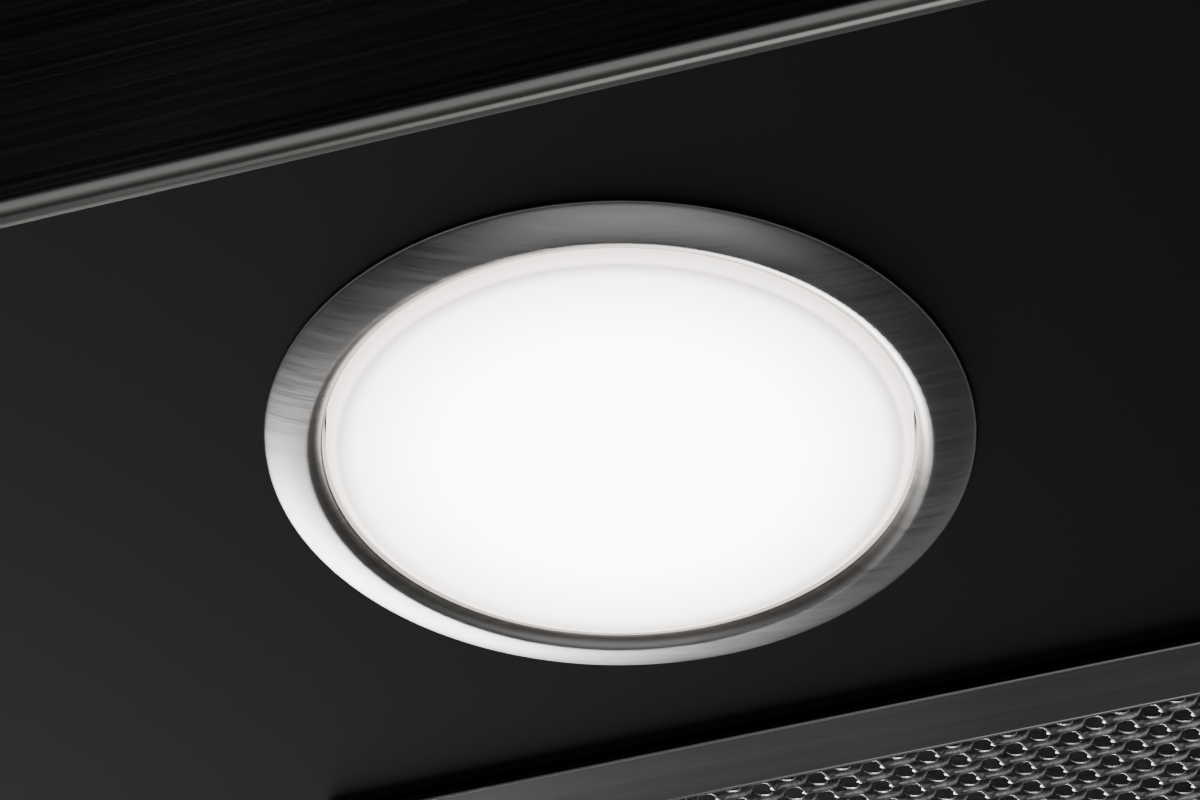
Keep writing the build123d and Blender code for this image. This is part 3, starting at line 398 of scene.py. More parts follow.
def steel_material(name, horizontal):
    """Brushed stainless steel with its grain along the length of each face, or upright."""
    parts = start_material(name, metallic=1.0)
    tree = parts[1]
    if horizontal:
        vector = side_or_front(tree, object_vector(tree, (3, 1500, 1500)), object_vector(tree, (1500, 3, 1500)))
    else:
        vector = object_vector(tree, (1500, 1500, 3))
    return brush(parts, bpy.context.scene.hood_finish.steel, vector)


def charcoal_material():
    """Matt charcoal coating: near black, even, with a faint satin sheen."""
    colour = bpy.context.scene.hood_finish.panel
    material, tree, shader = start_material("charcoal_coating", specular_ior_level=0.030)
    grit = place_group(tree, "grit", object_vector(tree), size=2600.0, depth=0.05)
    marks = place_group(tree, "handling", object_vector(tree), size=5.0)
    link = tree.links.new
    link(tinted(tree, colour, marks.outputs["Smudges"], 0.95, 1.08), shader.inputs["Base Color"])
    link(map_range(tree, marks.outputs["Smudges"], 0.0, 1.0, 0.50, 0.54, smooth=False),
         shader.inputs["Roughness"])
    link(grit.outputs["Normal"], shader.inputs["Normal"])
    return material


def lamp_ring_material():
    """Satin nickel with fine straight streaks across the whole ring."""
    yaw = bpy.context.scene.hood_studio.yaw
    parts = start_material("lamp_ring_nickel", metallic=1.0)
    vector = object_vector(parts[1], (1400, 60, 60), turn=yaw)
    return brush(parts, (0.42, 0.41, 0.40), vector, roughness=(0.27, 0.36), depth=0.16)


def lens_material(name, centre, radius):
    """Lit frosted lens: brightest in the middle, a little warmer and dimmer at its rim, with a painted shade line
    where the face bends into the shoulder and a painted highlight on the shoulder.
    """
    lamp = bpy.context.scene.hood_lamp
    material, tree, shader = start_material(name, base_color=(0.86, 0.85, 0.83, 1), specular_ior_level=0.4)
    link = tree.links.new
    place = object_vector(tree, place=centre)
    flat = tree.nodes.new("ShaderNodeVectorMath")
    flat.operation = "MULTIPLY"
    flat.inputs[1].default_value = (1 / radius, 1 / radius, 0)
    link(place, flat.inputs[0])
    length = tree.nodes.new("ShaderNodeVectorMath")
    length.operation = "LENGTH"
    link(flat.outputs[0], length.inputs[0])
    glow = tree.nodes.new("ShaderNodeValToRGB")
    # Up to 0.9 the fall is the lamp's own glow. The dip at 0.955 is a painted shade line where the face bends into
    # the shoulder, and the rise at 0.972 is a painted highlight on the shoulder.
    stops = ((0.0, 1.0, lamp.lens_colour), (0.62, 0.95, lamp.lens_colour), (0.90, 0.50, lamp.lens_colour),
             (0.955, 0.20, lamp.lens_edge_colour), (0.972, 0.36, lamp.lens_edge_colour),
             (1.0, 0.24, lamp.lens_edge_colour))
    while len(glow.color_ramp.elements) < len(stops):
        glow.color_ramp.elements.new(0.5)
    for element, (place_on_ramp, level, colour) in zip(glow.color_ramp.elements, stops):
        element.position = place_on_ramp
        element.color = (*[c * level for c in colour], 1)
    link(length.outputs["Value"], glow.inputs["Fac"])
    link(glow.outputs["Color"], shader.inputs["Emission Color"])
    shader.inputs["Emission Strength"].default_value = lamp.lens_light
    haze = place_group(tree, "grit", object_vector(tree), size=1500.0, depth=0.06)
    link(map_range(tree, haze.outputs["Grit"], 0.3, 0.7, 0.34, 0.42), shader.inputs["Roughness"])
    link(haze.outputs["Normal"], shader.inputs["Normal"])
    return material


def mesh_metal_material(name, level, roughness):
    """Satin aluminium of the expanded mesh, with slight tarnish. Its level scales the colour: the knuckles'
    brighter copy is a painted highlight and the inner layers' near-black copy is painted shade.
    """
    colour = [c * level for c in bpy.context.scene.hood_finish.aluminium]
    material, tree, shader = start_material(name, metallic=1.0)
    marks = place_group(tree, "handling", object_vector(tree), size=60.0)
    grit = place_group(tree, "grit", object_vector(tree), size=1800.0, depth=0.2)
    link = tree.links.new
    link(tinted(tree, colour, marks.outputs["Smudges"], 0.82, 1.05), shader.inputs["Base Color"])
    link(map_range(tree, grit.outputs["Grit"], 0.3, 0.7, *roughness), shader.inputs["Roughness"])
    link(grit.outputs["Normal"], shader.inputs["Normal"])
    return material


def sheet_material(name, colour, roughness):
    """Galvanised or cast metal: crystal patches of slightly different brightness."""
    material, tree, shader = start_material(name, metallic=1.0)
    crystals = add_node(tree, "ShaderNodeTexVoronoi", scale=140.0)
    tree.links.new(object_vector(tree), crystals.inputs["Vector"])
    marks = place_group(tree, "handling", object_vector(tree), size=12.0)
    grit = place_group(tree, "grit", object_vector(tree), size=700.0, depth=0.12)
    link = tree.links.new
    parts = tree.nodes.new("ShaderNodeSeparateColor")
    link(crystals.outputs["Color"], parts.inputs[0])
    link(tinted(tree, colour, parts.outputs[0], 0.78, 1.08), shader.inputs["Base Color"])
    smear = math_node(tree, "MULTIPLY", marks.outputs["Smudges"], 0.14)
    link(math_node(tree, "ADD", smear, roughness), shader.inputs["Roughness"])
    link(grit.outputs["Normal"], shader.inputs["Normal"])
    return material


def plastic_material(name, colour, roughness, grit_size=700.0, depth=0.25, **shader_values):
    """Moulded plastic or lacquer with a fine surface grain and light smudges."""
    material, tree, shader = start_material(name, **shader_values)
    grit = place_group(tree, "grit", object_vector(tree), size=grit_size, depth=depth)
    marks = place_group(tree, "handling", object_vector(tree), size=20.0)
    link = tree.links.new
    link(tinted(tree, colour, grit.outputs["Grit"], 0.88, 1.12), shader.inputs["Base Color"])
    smear = math_node(tree, "MULTIPLY", marks.outputs["Smudges"], 0.10)
    link(math_node(tree, "ADD", smear, roughness), shader.inputs["Roughness"])
    link(grit.outputs["Normal"], shader.inputs["Normal"])
    return material


def board_material():
    """Green circuit laminate with a faint pattern of tracks."""
    material, tree, shader = start_material("circuit_laminate", coat_weight=0.4)
    tracks = add_node(tree, "ShaderNodeTexBrick", scale=90.0)
    tracks.inputs["Color1"].default_value = (0.010, 0.085, 0.035, 1)
    tracks.inputs["Color2"].default_value = (0.014, 0.110, 0.045, 1)
    tracks.inputs["Mortar"].default_value = (0.030, 0.180, 0.080, 1)
    vector = object_vector(tree, (1, 1, 1))
    swap = tree.nodes.new("ShaderNodeMapping")
    swap.inputs["Rotation"].default_value = (pi / 2, 0, 0)
    tree.links.new(vector, swap.inputs["Vector"])
    tree.links.new(swap.outputs["Vector"], tracks.inputs["Vector"])
    tree.links.new(tracks.outputs["Color"], shader.inputs["Base Color"])
    grit = place_group(tree, "grit", object_vector(tree), size=1200.0, depth=0.1)
    tree.links.new(map_range(tree, grit.outputs["Grit"], 0.3, 0.7, 0.30, 0.40), shader.inputs["Roughness"])
    return material


def dress(material, *nodes):
    """Gives CAD nodes a material."""
    for node in nodes:
        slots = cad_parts[node].data.materials
        slots.clear()
        slots.append(material)


# ---------------------------------------------------------------- lamps
def bezel_profile(radius, bore, height):
    """Closed outline of the bezel as (radius, height), where a height below zero is below the panel.

    From the rounded outer edge a parabola climbs to the crest, a second one falls inwards to a rounded
    lip, and the outline goes up the bore and back down the outside of the sleeve."""
    lamp = bpy.context.scene.hood_lamp
    edge = arc((radius - lamp.edge_height, 0), lamp.edge_height, 0, -pi / 2 * 0.64, 6)
    share = np.linspace(0, 1, 15)[1:]
    rise = lamp.crest_height - (-edge[-1, 1])
    dome = np.stack([edge[-1, 0] + (lamp.crest_radius - edge[-1, 0]) * share,
                     edge[-1, 1] - rise * (1.45 * share - 0.45 * share ** 2)], axis=1)
    lip_round = 0.15 * MM
    lip = np.array([bore + lip_round, -lamp.lip_height])
    fall = lamp.crest_height - lamp.lip_height
    inward = np.stack([lamp.crest_radius + (lip[0] - lamp.crest_radius) * share,
                       -lamp.crest_height + fall * (0.2 * share + 0.8 * share ** 2)], axis=1)
    turn = arc((bore + lip_round, -lamp.lip_height + lip_round), lip_round, -pi / 2, -pi, 5)[1:]
    sleeve = np.array([[bore, height], [bore + 1.0 * MM, height], [bore + 1.0 * MM, 0]])
    return np.concatenate([edge, dome, inward, turn, sleeve])


def lens_profile(radius, drop, top):
    """Outline of the lens from its middle: a nearly flat face, a slanted shoulder and an upright rim."""
    lamp = bpy.context.scene.hood_lamp
    flat = radius - lamp.lens_shoulder
    share = np.linspace(0, 1, 16)
    face = np.stack([flat * share, -drop + 0.45 * MM * share ** 2.6], axis=1)
    bend = 0.12 * MM
    shoulder_top = -drop + 0.45 * MM + lamp.lens_shoulder
    shoulder = np.array([[flat + bend, -drop + 0.45 * MM + bend * 0.6],
                         [radius - bend, shoulder_top - bend], [radius, shoulder_top], [radius, top], [0, top]])
    return np.concatenate([face, shoulder])


class HOOD_OT_lamps(bpy.types.Operator):
    """Round lamps: a domed satin ring and a lit frosted lens at each corner"""

    bl_idname = "hood.lamps"
    bl_label = "Lamps"

    def execute(self, context):
        ring_finish = lamp_ring_material()
        panel_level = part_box("underside_panel")[0].z
        for corner in CORNERS:
            node = f"lamp_bezel_{corner}"
            low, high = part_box(node)
            lens_low, lens_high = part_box(f"lamp_lens_{corner}")
            centre = Vector((*middle_of(node).xy, panel_level))
            radius = (high.x - low.x) / 2
            lens_radius = (lens_high.x - lens_low.x) / 2 - 0.9 * MM
            profile = bezel_profile(radius, lens_radius + 0.3 * MM, high.z - panel_level)
            points = revolve(profile, centre, 192)
            faces = grid_faces(192, len(profile), True, True)
            add_piece(f"ring_{corner}", points, faces, ring_finish, "hood", (node,), weld=True)
            profile = lens_profile(lens_radius, panel_level - lens_low.z, lens_high.z - panel_level)
            points = revolve(profile, centre, 160)
            faces = grid_faces(160, len(profile), True, False)
            finish = lens_material(f"lit_lens_{corner}", centre, lens_radius)
            add_piece(f"lens_{corner}", points, faces, finish, "hood", (f"lamp_lens_{corner}",),
                      weld=True)
        dress(plastic_material("lamp_can_black", (0.02, 0.02, 0.021), 0.45), "lamp_cans")
        dress(plastic_material("led_laminate", (0.72, 0.72, 0.70), 0.35, 1500.0, 0.1), "led_boards")
        dress(sheet_material("clip_spring_steel", (0.45, 0.46, 0.48), 0.26), "lamp_clips")
        return {"FINISHED"}


# ---------------------------------------------------------------- filters
def filter_frame_material():
    """Brushed aluminium: the grain follows each side of the frame and meets in a mitre at the corners.

    A point belongs to the front or rear side where it is nearer to that edge than to the left or right one."""
    low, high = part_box("filter_frame_right")
    middle, half = (low + high) / 2, (high - low) / 2
    parts = start_material("filter_aluminium", metallic=1.0)
    tree = parts[1]
    place = tree.nodes.new("ShaderNodeSeparateXYZ")
    tree.links.new(object_vector(tree), place.inputs[0])
    across = math_node(tree, "ABSOLUTE", math_node(tree, "SUBTRACT", math_node(
        tree, "ABSOLUTE", place.outputs["X"]), middle.x))
    along = math_node(tree, "ABSOLUTE", math_node(tree, "SUBTRACT", place.outputs["Y"], middle.y))
    nearer = math_node(tree, "SUBTRACT", math_node(tree, "SUBTRACT", half.x, across),
                       math_node(tree, "SUBTRACT", half.y, along))
    on_end = math_node(tree, "GREATER_THAN", nearer, 0.0)
    mix = tree.nodes.new("ShaderNodeMix")
    mix.data_type = "VECTOR"
    tree.links.new(on_end, mix.inputs["Factor"])
    tree.links.new(object_vector(tree, (3500, 8, 3500)), mix.inputs[4])
    tree.links.new(object_vector(tree, (8, 3500, 3500)), mix.inputs[5])
    return brush(parts, bpy.context.scene.hood_finish.aluminium, mix.outputs[1], (0.155, 0.185), 0.05)


def bead_run(start, end, outward, radius):
    """Half-round bead from start to end: a circle's arc from the outward direction to straight down."""
    start, end, outward = (np.array(v, float) for v in (start, end, outward))
    angle = np.linspace(-0.15 * pi, 0.75 * pi, 8)[None, :, None]
    share = np.linspace(0, 1, 2)[:, None, None]
    down = np.array([0, 0, -1.0])
    centre = start + (end - start) * share
    return centre + radius * (np.cos(angle) * outward + np.sin(angle) * down)


def rectangle_runs(low, high, inset, gap):
    """Sides of a rectangle as (start, end, outward), the front side broken by the gap (low x, high x)."""
    x0, x1, y0, y1 = low.x + inset, high.x - inset, low.y + inset, high.y - inset
    return [((x0, y0), (x0, y1), (-1, 0)), ((x0, y1), (x1, y1), (0, 1)), ((x1, y1), (x1, y0), (1, 0)),
            ((x1, y0), (gap[1], y0), (0, -1)), ((gap[0], y0), (x0, y0), (0, -1))]


class HOOD_OT_filter_frames(bpy.types.Operator):
    """Filter frames: aluminium channels with mitred grain and rolled edges"""

    bl_idname = "hood.filter_frames"
    bl_label = "Filter frames"

    def execute(self, context):
        finish = filter_frame_material()
        dress(finish, *[f"filter_frame_{side}" for side in SIDES])
        bead = context.scene.hood_filter.edge_bead
        flange = context.scene.hood_filter.flange_width
        rear_clearance = 14 * MM
        for side in SIDES:
            low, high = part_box(f"filter_frame_{side}")
            latch_low, latch_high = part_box(f"latch_housing_{side}")
            gap = (latch_low.x - 0.3 * MM, latch_high.x + 0.3 * MM)
            level = low.z + bead * 0.75
            blocks = []
            clear = high - Vector((0, rear_clearance, 0))
            for start, end, outward in rectangle_runs(low, clear, bead, gap):
                if outward == (0, 1):
                    continue
                blocks.append(bead_run((*start, level), (*end, level), (*outward, 0), bead))
            for start, end, outward in rectangle_runs(low, high, flange - bead * 0.5, gap)[:3]:
                inward = tuple(-v for v in outward)
                blocks.append(bead_run((*start, level), (*end, level), (*inward, 0), bead)[::-1])
            points = np.stack(blocks)
            quads = grid_faces(2, 8)
            faces = (quads[None] + (np.arange(len(blocks)) * 16)[:, None, None]).reshape(-1, 4)
            add_piece(f"rolled_edges_{side}", points, faces, finish, f"filter_{side}")
        return {"FINISHED"}


def lattice(low, high, margin):
    """Cell places of the staggered mesh: rows across X, cells along Y, odd rows half a pitch on."""
    mesh = bpy.context.scene.hood_filter
    rows = int((high.x - low.x - 2 * margin) / mesh.row_spacing)
    cells = int((high.y - low.y - 2 * margin) / mesh.pitch) - 1
    start_x = (low.x + high.x - (rows - 1) * mesh.row_spacing) / 2
    start_y = (low.y + high.y + (cells + 0.5) * mesh.pitch) / 2
    return rows, cells, start_x, start_y


# Steps along one cell and the hole's middle, as shares of the pitch that they were worked out for
CELL_LENGTH = 6.03
CELL_STEPS = np.array([0.0, 0.32, 0.75, 2.30, 3.35, 3.95, 4.65, 5.35, 5.72]) / CELL_LENGTH
HOLE_PLACE = 4.65 / CELL_LENGTH


def strand_rows(rows, cells, start, level, first, keep_out):
    """Strands of the expanded mesh as tilted wavy ribbons that run towards low Y.

    Each cell starts at a knuckle, goes on as a land whose far edge hangs low, and then draws back to a thin
    strip round the near side of its hole. Share 1 of the raised-cosine hole weight is at the hole's middle.
    The knuckle is a bell curve of the distance from the cell's start."""
    mesh = bpy.context.scene.hood_filter
    travel = (np.arange(cells)[:, None] + CELL_STEPS[None, :]).ravel()[None, :, None]
    side = np.linspace(0, 1, 4)[None, None, :]
    row = (first + np.arange(rows))[:, None, None]
    phase = travel % 1.0
    from_hole = np.abs(phase - HOLE_PLACE) * mesh.pitch
    weight = 0.5 - 0.5 * np.cos(pi * np.clip((1.6 * MM - from_hole) / (1.1 * MM), 0, 1))
    from_knuckle = (phase - np.round(phase)) * mesh.pitch
    knuckle = np.exp(-(from_knuckle / (0.34 * MM)) ** 2)
    near = -0.42 * MM - 0.60 * MM * weight - 0.22 * MM * knuckle
    far = near + mesh.land_width * (1 - 0.68 * weight) * (1 - 0.35 * knuckle)
    x = start[0] + row * mesh.row_spacing + near + (far - near) * side
    crown = 4 * side * (1 - side)
    tilt = 0.05 * MM + 0.15 * MM * weight - (0.34 - 0.30 * weight) * MM * side
    z = level + tilt - crown * (0.06 * MM + 0.48 * MM * knuckle)
    y = start[1] - (travel + 0.5 * (row % 2)) * mesh.pitch
    points = np.stack(np.broadcast_arrays(x, y, z), axis=3)
    steps = travel.shape[1]
    quads = grid_faces(steps, 4)[:, ::-1]
    faces = (quads[None] + (np.arange(rows) * steps * 4)[:, None, None]).reshape(-1, 4)
    points = points.reshape(-1, 3)
    centre = points[faces].mean(axis=1)
    return points, faces[~blocked(centre, keep_out)]


def blocked(places, keep_out):
    """True for places inside the rectangle that the latch takes."""
    return np.all((places[:, :2] > keep_out[0]) & (places[:, :2] < keep_out[1]), axis=1)


def hole_lips(rows, cells, start, level, first, keep_out):
    """Crescent lips: a raised rim round the far side of each hole, widest in the middle of its arc.

    From its inner edge outwards the rim falls away with the square of the distance, and it leans down
    towards low Y."""
    mesh = bpy.context.scene.hood_filter
    steps = 7
    turn = np.radians(np.linspace(0, 178, steps))[:, None]
    out = np.array([0.0, 0.5, 1.0])[None, :]
    breadth = (0.06 + 0.46 * np.sin(np.linspace(0, pi, steps)))[:, None] * MM
    reach = mesh.hole_radius - (1 - out) * breadth
    local_x = reach * np.sin(turn)
    local_y = -reach * np.cos(turn)
    local_z = -(0.06 + 0.12 * (1 - out ** 2)) * MM + 0.2 * local_y
    row = (first + np.arange(rows))[:, None]
    cell = np.arange(cells)[None, :]
    x = start[0] + row * mesh.row_spacing + 0.25 * MM + 0.0 * cell
    y = start[1] - (cell + HOLE_PLACE + 0.5 * (row % 2)) * mesh.pitch
    places = np.stack([x, y, np.full(x.shape, level)], axis=2).reshape(-1, 1, 3)
    places = places[~blocked(places[:, 0], keep_out)]
    shape = np.stack([local_x, local_y, local_z], axis=2).reshape(1, -1, 3)
    points = places + shape
    quads = grid_faces(steps, 3)
    faces = (quads[None] + (np.arange(len(places)) * steps * 3)[:, None, None]).reshape(-1, 4)
    return points.reshape(-1, 3), faces[:, ::-1]


def knuckle_beads(rows, cells, start, level, first, keep_out):
    """Round beads at the low-Y end of each hole: eight faces from an ellipse along Y to a lowest point.

    The lowest point lies off the middle, towards low Y."""
    mesh = bpy.context.scene.hood_filter
    sides = 8
    around = np.arange(sides)
    turn = around * 2 * pi / sides
    rim = np.stack([0.42 * np.cos(turn), 0.52 * np.sin(turn), 0 * turn - 0.10], axis=1)
    lowest = [[0.0, -0.14, -0.44]]
    shape = np.vstack([lowest, rim]) * MM
    row = (first + np.arange(rows))[:, None]
    cell = np.arange(cells)[None, :]
    x = start[0] + row * mesh.row_spacing + 0.05 * MM + 0.0 * cell
    y = start[1] - (cell + 1 + 0.5 * (row % 2)) * mesh.pitch
    places = np.stack([x, y, np.full(x.shape, level)], axis=2).reshape(-1, 1, 3)
    places = places[~blocked(places[:, 0], keep_out)]
    points = places + shape[None]
    fan = np.stack([0 * around, 1 + (around + 1) % sides, 1 + around], axis=1)
    faces = (fan[None] + (np.arange(len(places)) * len(shape))[:, None, None]).reshape(-1, 3)
    return points.reshape(-1, 3), faces


class HOOD_OT_filter_mesh(bpy.types.Operator):
    """Filter mesh: expanded aluminium strands with knuckles in a painted highlight and lipped holes over an inner
    layer darkened with painted shade
    """

    bl_idname = "hood.filter_mesh"
    bl_label = "Filter mesh"

    def execute(self, context):
        outer = mesh_metal_material("expanded_aluminium", 0.95, (0.24, 0.36))
        # The knuckles get a copy of the mesh aluminium at one and a half times its colour: a painted highlight.
        bright = mesh_metal_material("knuckle_painted_highlight", 1.5, (0.26, 0.34))
        # The inner layers get a near-black copy of the mesh aluminium: painted shade inside the filter.
        inner = mesh_metal_material("painted_shade_inner_mesh", 0.045, (0.45, 0.6))
        for side in SIDES:
            low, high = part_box(f"filter_mesh_{side}")
            latch_low, latch_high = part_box(f"latch_housing_{side}")
            gap = 0.6 * MM
            keep_out = (np.array([latch_low.x - gap, latch_low.y - 0.01]),
                        np.array([latch_high.x + gap, latch_high.y + gap]))
            rows, cells, start_x, start_y = lattice(low, high, 1.4 * MM)
            level = low.z + 0.75 * MM
            for band in np.array_split(np.arange(rows), 4):
                points, faces = strand_rows(len(band), cells, (start_x, start_y), level, band[0], keep_out)
                add_piece(f"strands_{side}_{band[0]:03d}", points, faces, outer, f"filter_{side}",
                          (f"filter_mesh_{side}",))
            for band in np.array_split(np.arange(rows), 2):
                points, faces = hole_lips(len(band), cells, (start_x, start_y), level + 0.1 * MM, band[0],
                                          keep_out)
                add_piece(f"hole_lips_{side}_{band[0]:03d}", points, faces, outer, f"filter_{side}",
                          (f"filter_mesh_{side}",))
            points, faces = knuckle_beads(rows, cells, (start_x, start_y), level, 0, keep_out)
            add_piece(f"knuckles_{side}", points, faces, bright, f"filter_{side}", (f"filter_mesh_{side}",))
            self.inner_layers(side, low, high, latch_high.y + gap, inner)
        return {"FINISHED"}

    def inner_layers(self, side, low, high, latch_rear, finish):
        """Two wavy backing sheets: height is the product of a sine along each direction. Their near-black finish
        is painted shade.
        """
        for number, share in enumerate((0.42, 0.86)):
            x = np.linspace(low.x + MM, high.x - MM, 150)[:, None]
            y = np.linspace(latch_rear, high.y - MM, 120)[None, :]
            z = low.z + (high.z - low.z) * share + 0.25 * MM * np.sin(x * 900) * np.sin(y * 700)
            points = np.stack(np.broadcast_arrays(x, y, z), axis=2)
            add_piece(f"inner_mesh_{side}_{number}", points, grid_faces(150, 120)[:, ::-1], finish,
                      f"filter_{side}", (f"filter_mesh_{side}",))


class HOOD_OT_latches(bpy.types.Operator):
    """Filter latches, their springs and the catches on the panel"""

    bl_idname = "hood.latches"
    bl_label = "Latches"

    def execute(self, context):
        tray = plastic_material("latch_tray_black", (0.025, 0.025, 0.026), 0.42)
        slider = plastic_material("latch_slider_grey", (0.055, 0.056, 0.058), 0.36)
        spring = sheet_material("spring_steel", (0.48, 0.49, 0.50), 0.24)
        dress(tray, *[f"latch_housing_{side}" for side in SIDES])
        dress(slider, *[f"latch_slider_{side}" for side in SIDES])
        dress(spring, "catch_springs", *[f"latch_spring_{side}" for side in SIDES])
        return {"FINISHED"}


# ---------------------------------------------------------------- casing and inside
class HOOD_OT_casing(bpy.types.Operator):
    """Canopy, chimney covers and underside panel"""

    bl_idname = "hood.casing"
    bl_label = "Casing"

    def execute(self, context):
        dress(steel_material("canopy_steel", True), "canopy_shell")
        dress(steel_material("chimney_steel", False), "lower_chimney", "upper_chimney")
        dress(charcoal_material(), "underside_panel")
        return {"FINISHED"}


class HOOD_OT_controls(bpy.types.Operator):
    """Control fascia, push buttons and the switch board behind them"""

    bl_idname = "hood.controls"
    bl_label = "Controls"

    def execute(self, context):
        dress(plastic_material("fascia_black", (0.010, 0.010, 0.011), 0.16, 1600.0, 0.04, coat_weight=0.5),
              "control_fascia")
        parts = start_material("button_metal", metallic=1.0)
        metal = brush(parts, (0.58, 0.58, 0.57), object_vector(parts[1], (8, 1800, 1800)))
        dress(metal, *[f"button_{number}" for number in range(1, 6)])
        dress(board_material(), "switch_board", "circuit_board")
        return {"FINISHED"}


class HOOD_OT_blower(bpy.types.Operator):
    """Motor box, blower, outlet collar and electronics"""

    bl_idname = "hood.blower"
    bl_label = "Blower"

    def execute(self, context):
        zinc = sheet_material("galvanised_sheet", context.scene.hood_finish.zinc, 0.30)
        dress(zinc, "motor_box", "electronics_box", "electronics_lid", "lower_frame")
        dress(plastic_material("scroll_grey", (0.11, 0.115, 0.12), 0.42), "scroll_front", "scroll_rear")
        dress(plastic_material("wheel_grey", (0.06, 0.062, 0.065), 0.38), "impeller")
        dress(plastic_material("grille_black", (0.02, 0.02, 0.022), 0.40), "inlet_guard_front",
              "inlet_guard_rear", "outlet_collar", "flap_front", "flap_rear", "cable_gland")
        dress(sheet_material("cast_motor_metal", (0.40, 0.41, 0.42), 0.42), "motor_can", "motor_bracket")
        dress(sheet_material("ground_steel", (0.58, 0.58, 0.59), 0.16), "motor_bearings", "motor_shaft",
              "flap_pin")
        dress(plastic_material("grommet_rubber", (0.015, 0.015, 0.015), 0.75), "motor_grommets")
        dress(plastic_material("capacitor_sleeve", (0.62, 0.62, 0.60), 0.28, 900.0, 0.1), "motor_capacitor")
        return {"FINISHED"}


class HOOD_OT_ceiling_mount(bpy.types.Operator):
    """Ceiling plate, upper frame and the screws and bolts"""

    bl_idname = "hood.ceiling_mount"
    bl_label = "Ceiling mount"

    def execute(self, context):
        zinc = sheet_material("frame_zinc", context.scene.hood_finish.zinc, 0.32)
        dress(zinc, "ceiling_plate", "upper_frame")
        dress(sheet_material("plated_screws", (0.56, 0.57, 0.58), 0.20), "chimney_screws", "frame_bolts",
              "blower_screws")
        return {"FINISHED"}


# ---------------------------------------------------------------- stage
def add_softbox(name, place, aim, size, power, spread=180):
    """Rectangular light that points at a place and isn't seen by the camera."""
    data = bpy.data.lights.new(name, "AREA")
    data.shape = "RECTANGLE"
    data.size, data.size_y = size
    data.energy = power
    data.spread = radians(spread)
    light = bpy.data.objects.new(name, data)
    light.location = place
    light.rotation_euler = (Vector(aim) - Vector(place)).to_track_quat("-Z", "Y").to_euler()
    light.visible_camera = False
    bpy.context.scene.collection.objects.link(light)
    return light


def add_overhead(name, azimuth, elevation, strength):
    """Very soft daylight that comes from a compass direction and a height, both in degrees."""
    data = bpy.data.lights.new(name, "SUN")
    data.energy = strength
    data.angle = radians(40)
    light = bpy.data.objects.new(name, data)
    azimuth, elevation = radians(azimuth), radians(elevation)
    way = Vector((cos(azimuth) * cos(elevation), sin(azimuth) * cos(elevation), sin(elevation)))
    light.rotation_euler = way.to_track_quat("Z", "Y").to_euler()
    bpy.context.scene.collection.objects.link(light)


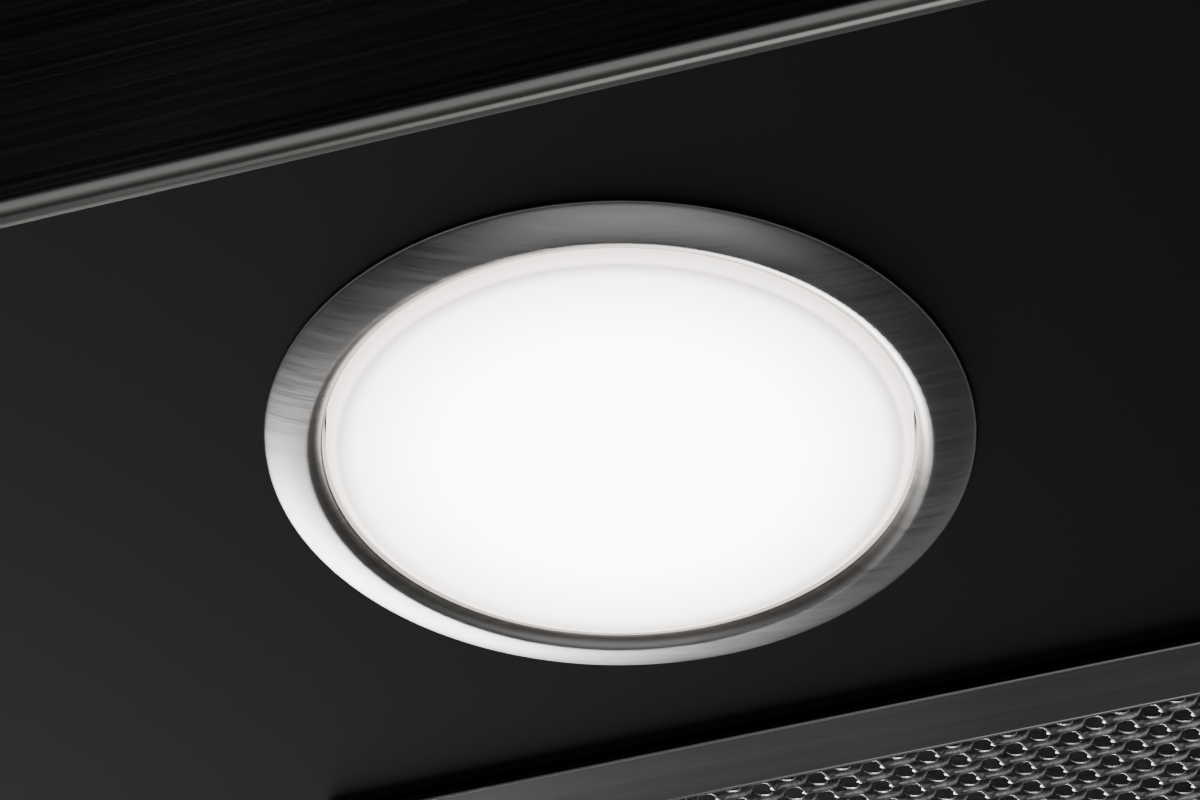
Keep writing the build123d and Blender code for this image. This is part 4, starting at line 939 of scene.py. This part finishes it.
class HOOD_OT_stage(bpy.types.Operator):
    """Camera, pale floor, soft lights and a sky that is pale at the horizon and dark overhead"""

    bl_idname = "hood.stage"
    bl_label = "Stage"

    def execute(self, context):
        self.camera()
        self.floor()
        self.sky()
        self.lights()
        return {"FINISHED"}

    def lamp_place(self):
        middle = middle_of("lamp_bezel_rear_left")
        return Vector((middle.x, middle.y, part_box("underside_panel")[0].z))

    def camera(self):
        """The view looks up past the panel's left edge at the rear left lamp."""
        studio = bpy.context.scene.hood_studio
        flat = Vector((cos(studio.yaw), sin(studio.yaw), 0))
        forward = flat * cos(studio.pitch) + Vector((0, 0, sin(studio.pitch)))
        right = forward.cross(Vector((0, 0, 1))).normalized()
        up = right.cross(forward)
        offset = right * studio.shift_right - up * studio.shift_down + forward * studio.distance
        data = bpy.data.cameras.new("camera")
        data.lens = studio.focal_length
        data.sensor_width = 36.0
        data.clip_start = 0.02
        data.clip_end = 200.0
        camera = bpy.data.objects.new("camera", data)
        camera.matrix_world = Matrix.Translation(self.lamp_place() - offset) @ Matrix(
            (right, up, -forward)).transposed().to_4x4()
        bpy.context.scene.collection.objects.link(camera)
        bpy.context.scene.camera = camera

    def floor(self):
        """Flat disc: rings of growing radius round the hood, with painted shade in a round patch below the key's
        side.
        """
        studio = bpy.context.scene.hood_studio
        # The round patch is painted shade: inside its inner radius the floor colour falls to 0.12 of its pale
        # colour, and it rises to full pale at the outer radius.
        patch_place = (1.3, 0.2, 0)
        patch_inner, patch_outer, painted_shade_level = 2.4, 5.2, 0.12
        segments = 96
        material, tree, shader = start_material("pale_floor", specular_ior_level=0.2)
        grit = place_group(tree, "grit", object_vector(tree), size=40.0, depth=0.05)
        distance = tree.nodes.new("ShaderNodeVectorMath")
        distance.operation = "LENGTH"
        tree.links.new(object_vector(tree, (1, 1, 0), place=patch_place), distance.inputs[0])
        pale = map_range(tree, distance.outputs["Value"], patch_inner, patch_outer, painted_shade_level, 1.0)
        even = map_range(tree, grit.outputs["Grit"], 0.0, 1.0, 0.98, 1.02, smooth=False)
        tree.links.new(tinted(tree, (0.68, 0.68, 0.67), math_node(tree, "MULTIPLY", pale, even), 0.0, 1.0),
                       shader.inputs["Base Color"])
        shader.inputs["Roughness"].default_value = 0.7
        profile = np.array([[0.0, 0.0], [1.0, 0.0], [5.0, 0.0], [60.0, 0.0]])
        centre = Vector((0, 0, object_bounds()[0].z - studio.floor_drop))
        points = revolve(profile, centre, segments)
        add_piece("floor", points, grid_faces(segments, len(profile), True, False), material, weld=True)

    def sky(self):
        """Pale from the horizon up to one height, then fading to near black at the next."""
        pale_below, dark_above = radians(10), radians(29)
        world = bpy.data.worlds.new("studio")
        bpy.context.scene.world = world
        world.use_nodes = True
        tree = world.node_tree
        direction = tree.nodes.new("ShaderNodeTexCoord")
        parts = tree.nodes.new("ShaderNodeSeparateXYZ")
        tree.links.new(direction.outputs["Generated"], parts.inputs[0])
        level = map_range(tree, parts.outputs["Z"], sin(pale_below), sin(dark_above), 0.30, 0.0006)
        tree.links.new(level, tree.nodes["Background"].inputs["Strength"])
        tree.nodes["Background"].inputs["Color"].default_value = (0.93, 0.96, 1.0, 1)

    def lights(self):
        """The key shines from under the hood's far side, and soft daylight falls on its outside."""
        lamp = self.lamp_place()
        key_azimuth, key_height, key_distance = radians(35), radians(-11), 2.8
        key_way = Vector((cos(key_azimuth) * cos(key_height), sin(key_azimuth) * cos(key_height), sin(key_height)))
        add_softbox("key", lamp + key_way * key_distance, lamp, (1.3, 1.2), 17, spread=70)
        below_place = Vector((0.1, 0.0, -1.35))
        add_softbox("below", lamp + below_place, lamp, (0.7, 0.7), 1.15)
        rear_turn, rear_height, rear_distance = radians(57), radians(25), 6.0
        rear_way = Vector((-cos(rear_turn), sin(rear_turn), sin(rear_height))).normalized()
        add_softbox("high_rear", lamp + rear_way * rear_distance, lamp, (3.0, 2.2), 6, spread=100)
        add_overhead("overhead_front", -68, 52, 1.15)
        add_overhead("overhead_rear", 78, 42, 0.65)


class HOOD_PT_sidebar(bpy.types.Panel):
    """Range hood panel in the sidebar"""

    bl_idname = "HOOD_PT_sidebar"
    bl_label = "Range Hood"
    bl_space_type = "VIEW_3D"
    bl_region_type = "UI"
    bl_category = "Range Hood"

    def draw(self, context):
        for operator in OPERATORS:
            self.layout.operator(operator.bl_idname)
        for name in SETTINGS:
            box = self.layout.box()
            settings = getattr(context.scene, name)
            for key in settings.bl_rna.properties.keys():
                if key not in {"rna_type", "name"}:
                    box.prop(settings, key)


OPERATORS = (HOOD_OT_stage, HOOD_OT_casing, HOOD_OT_lamps, HOOD_OT_filter_frames, HOOD_OT_filter_mesh,
             HOOD_OT_latches, HOOD_OT_controls, HOOD_OT_blower, HOOD_OT_ceiling_mount)
SETTINGS = {"hood_lamp": LampSettings, "hood_filter": FilterSettings, "hood_finish": FinishSettings,
            "hood_studio": StudioSettings}


def register():
    for group in SETTINGS.values():
        bpy.utils.register_class(group)
    for name, group in SETTINGS.items():
        setattr(bpy.types.Scene, name, PointerProperty(type=group))
    for operator in OPERATORS:
        bpy.utils.register_class(operator)
    bpy.utils.register_class(HOOD_PT_sidebar)


def unregister():
    bpy.utils.unregister_class(HOOD_PT_sidebar)
    for operator in reversed(OPERATORS):
        bpy.utils.unregister_class(operator)
    for name in SETTINGS:
        delattr(bpy.types.Scene, name)
    for group in reversed(SETTINGS.values()):
        bpy.utils.unregister_class(group)


def main():
    register()
    for operator in OPERATORS:
        category, name = operator.bl_idname.split(".")
        getattr(getattr(bpy.ops, category), name)()


if __name__ == "__main__":
    main()
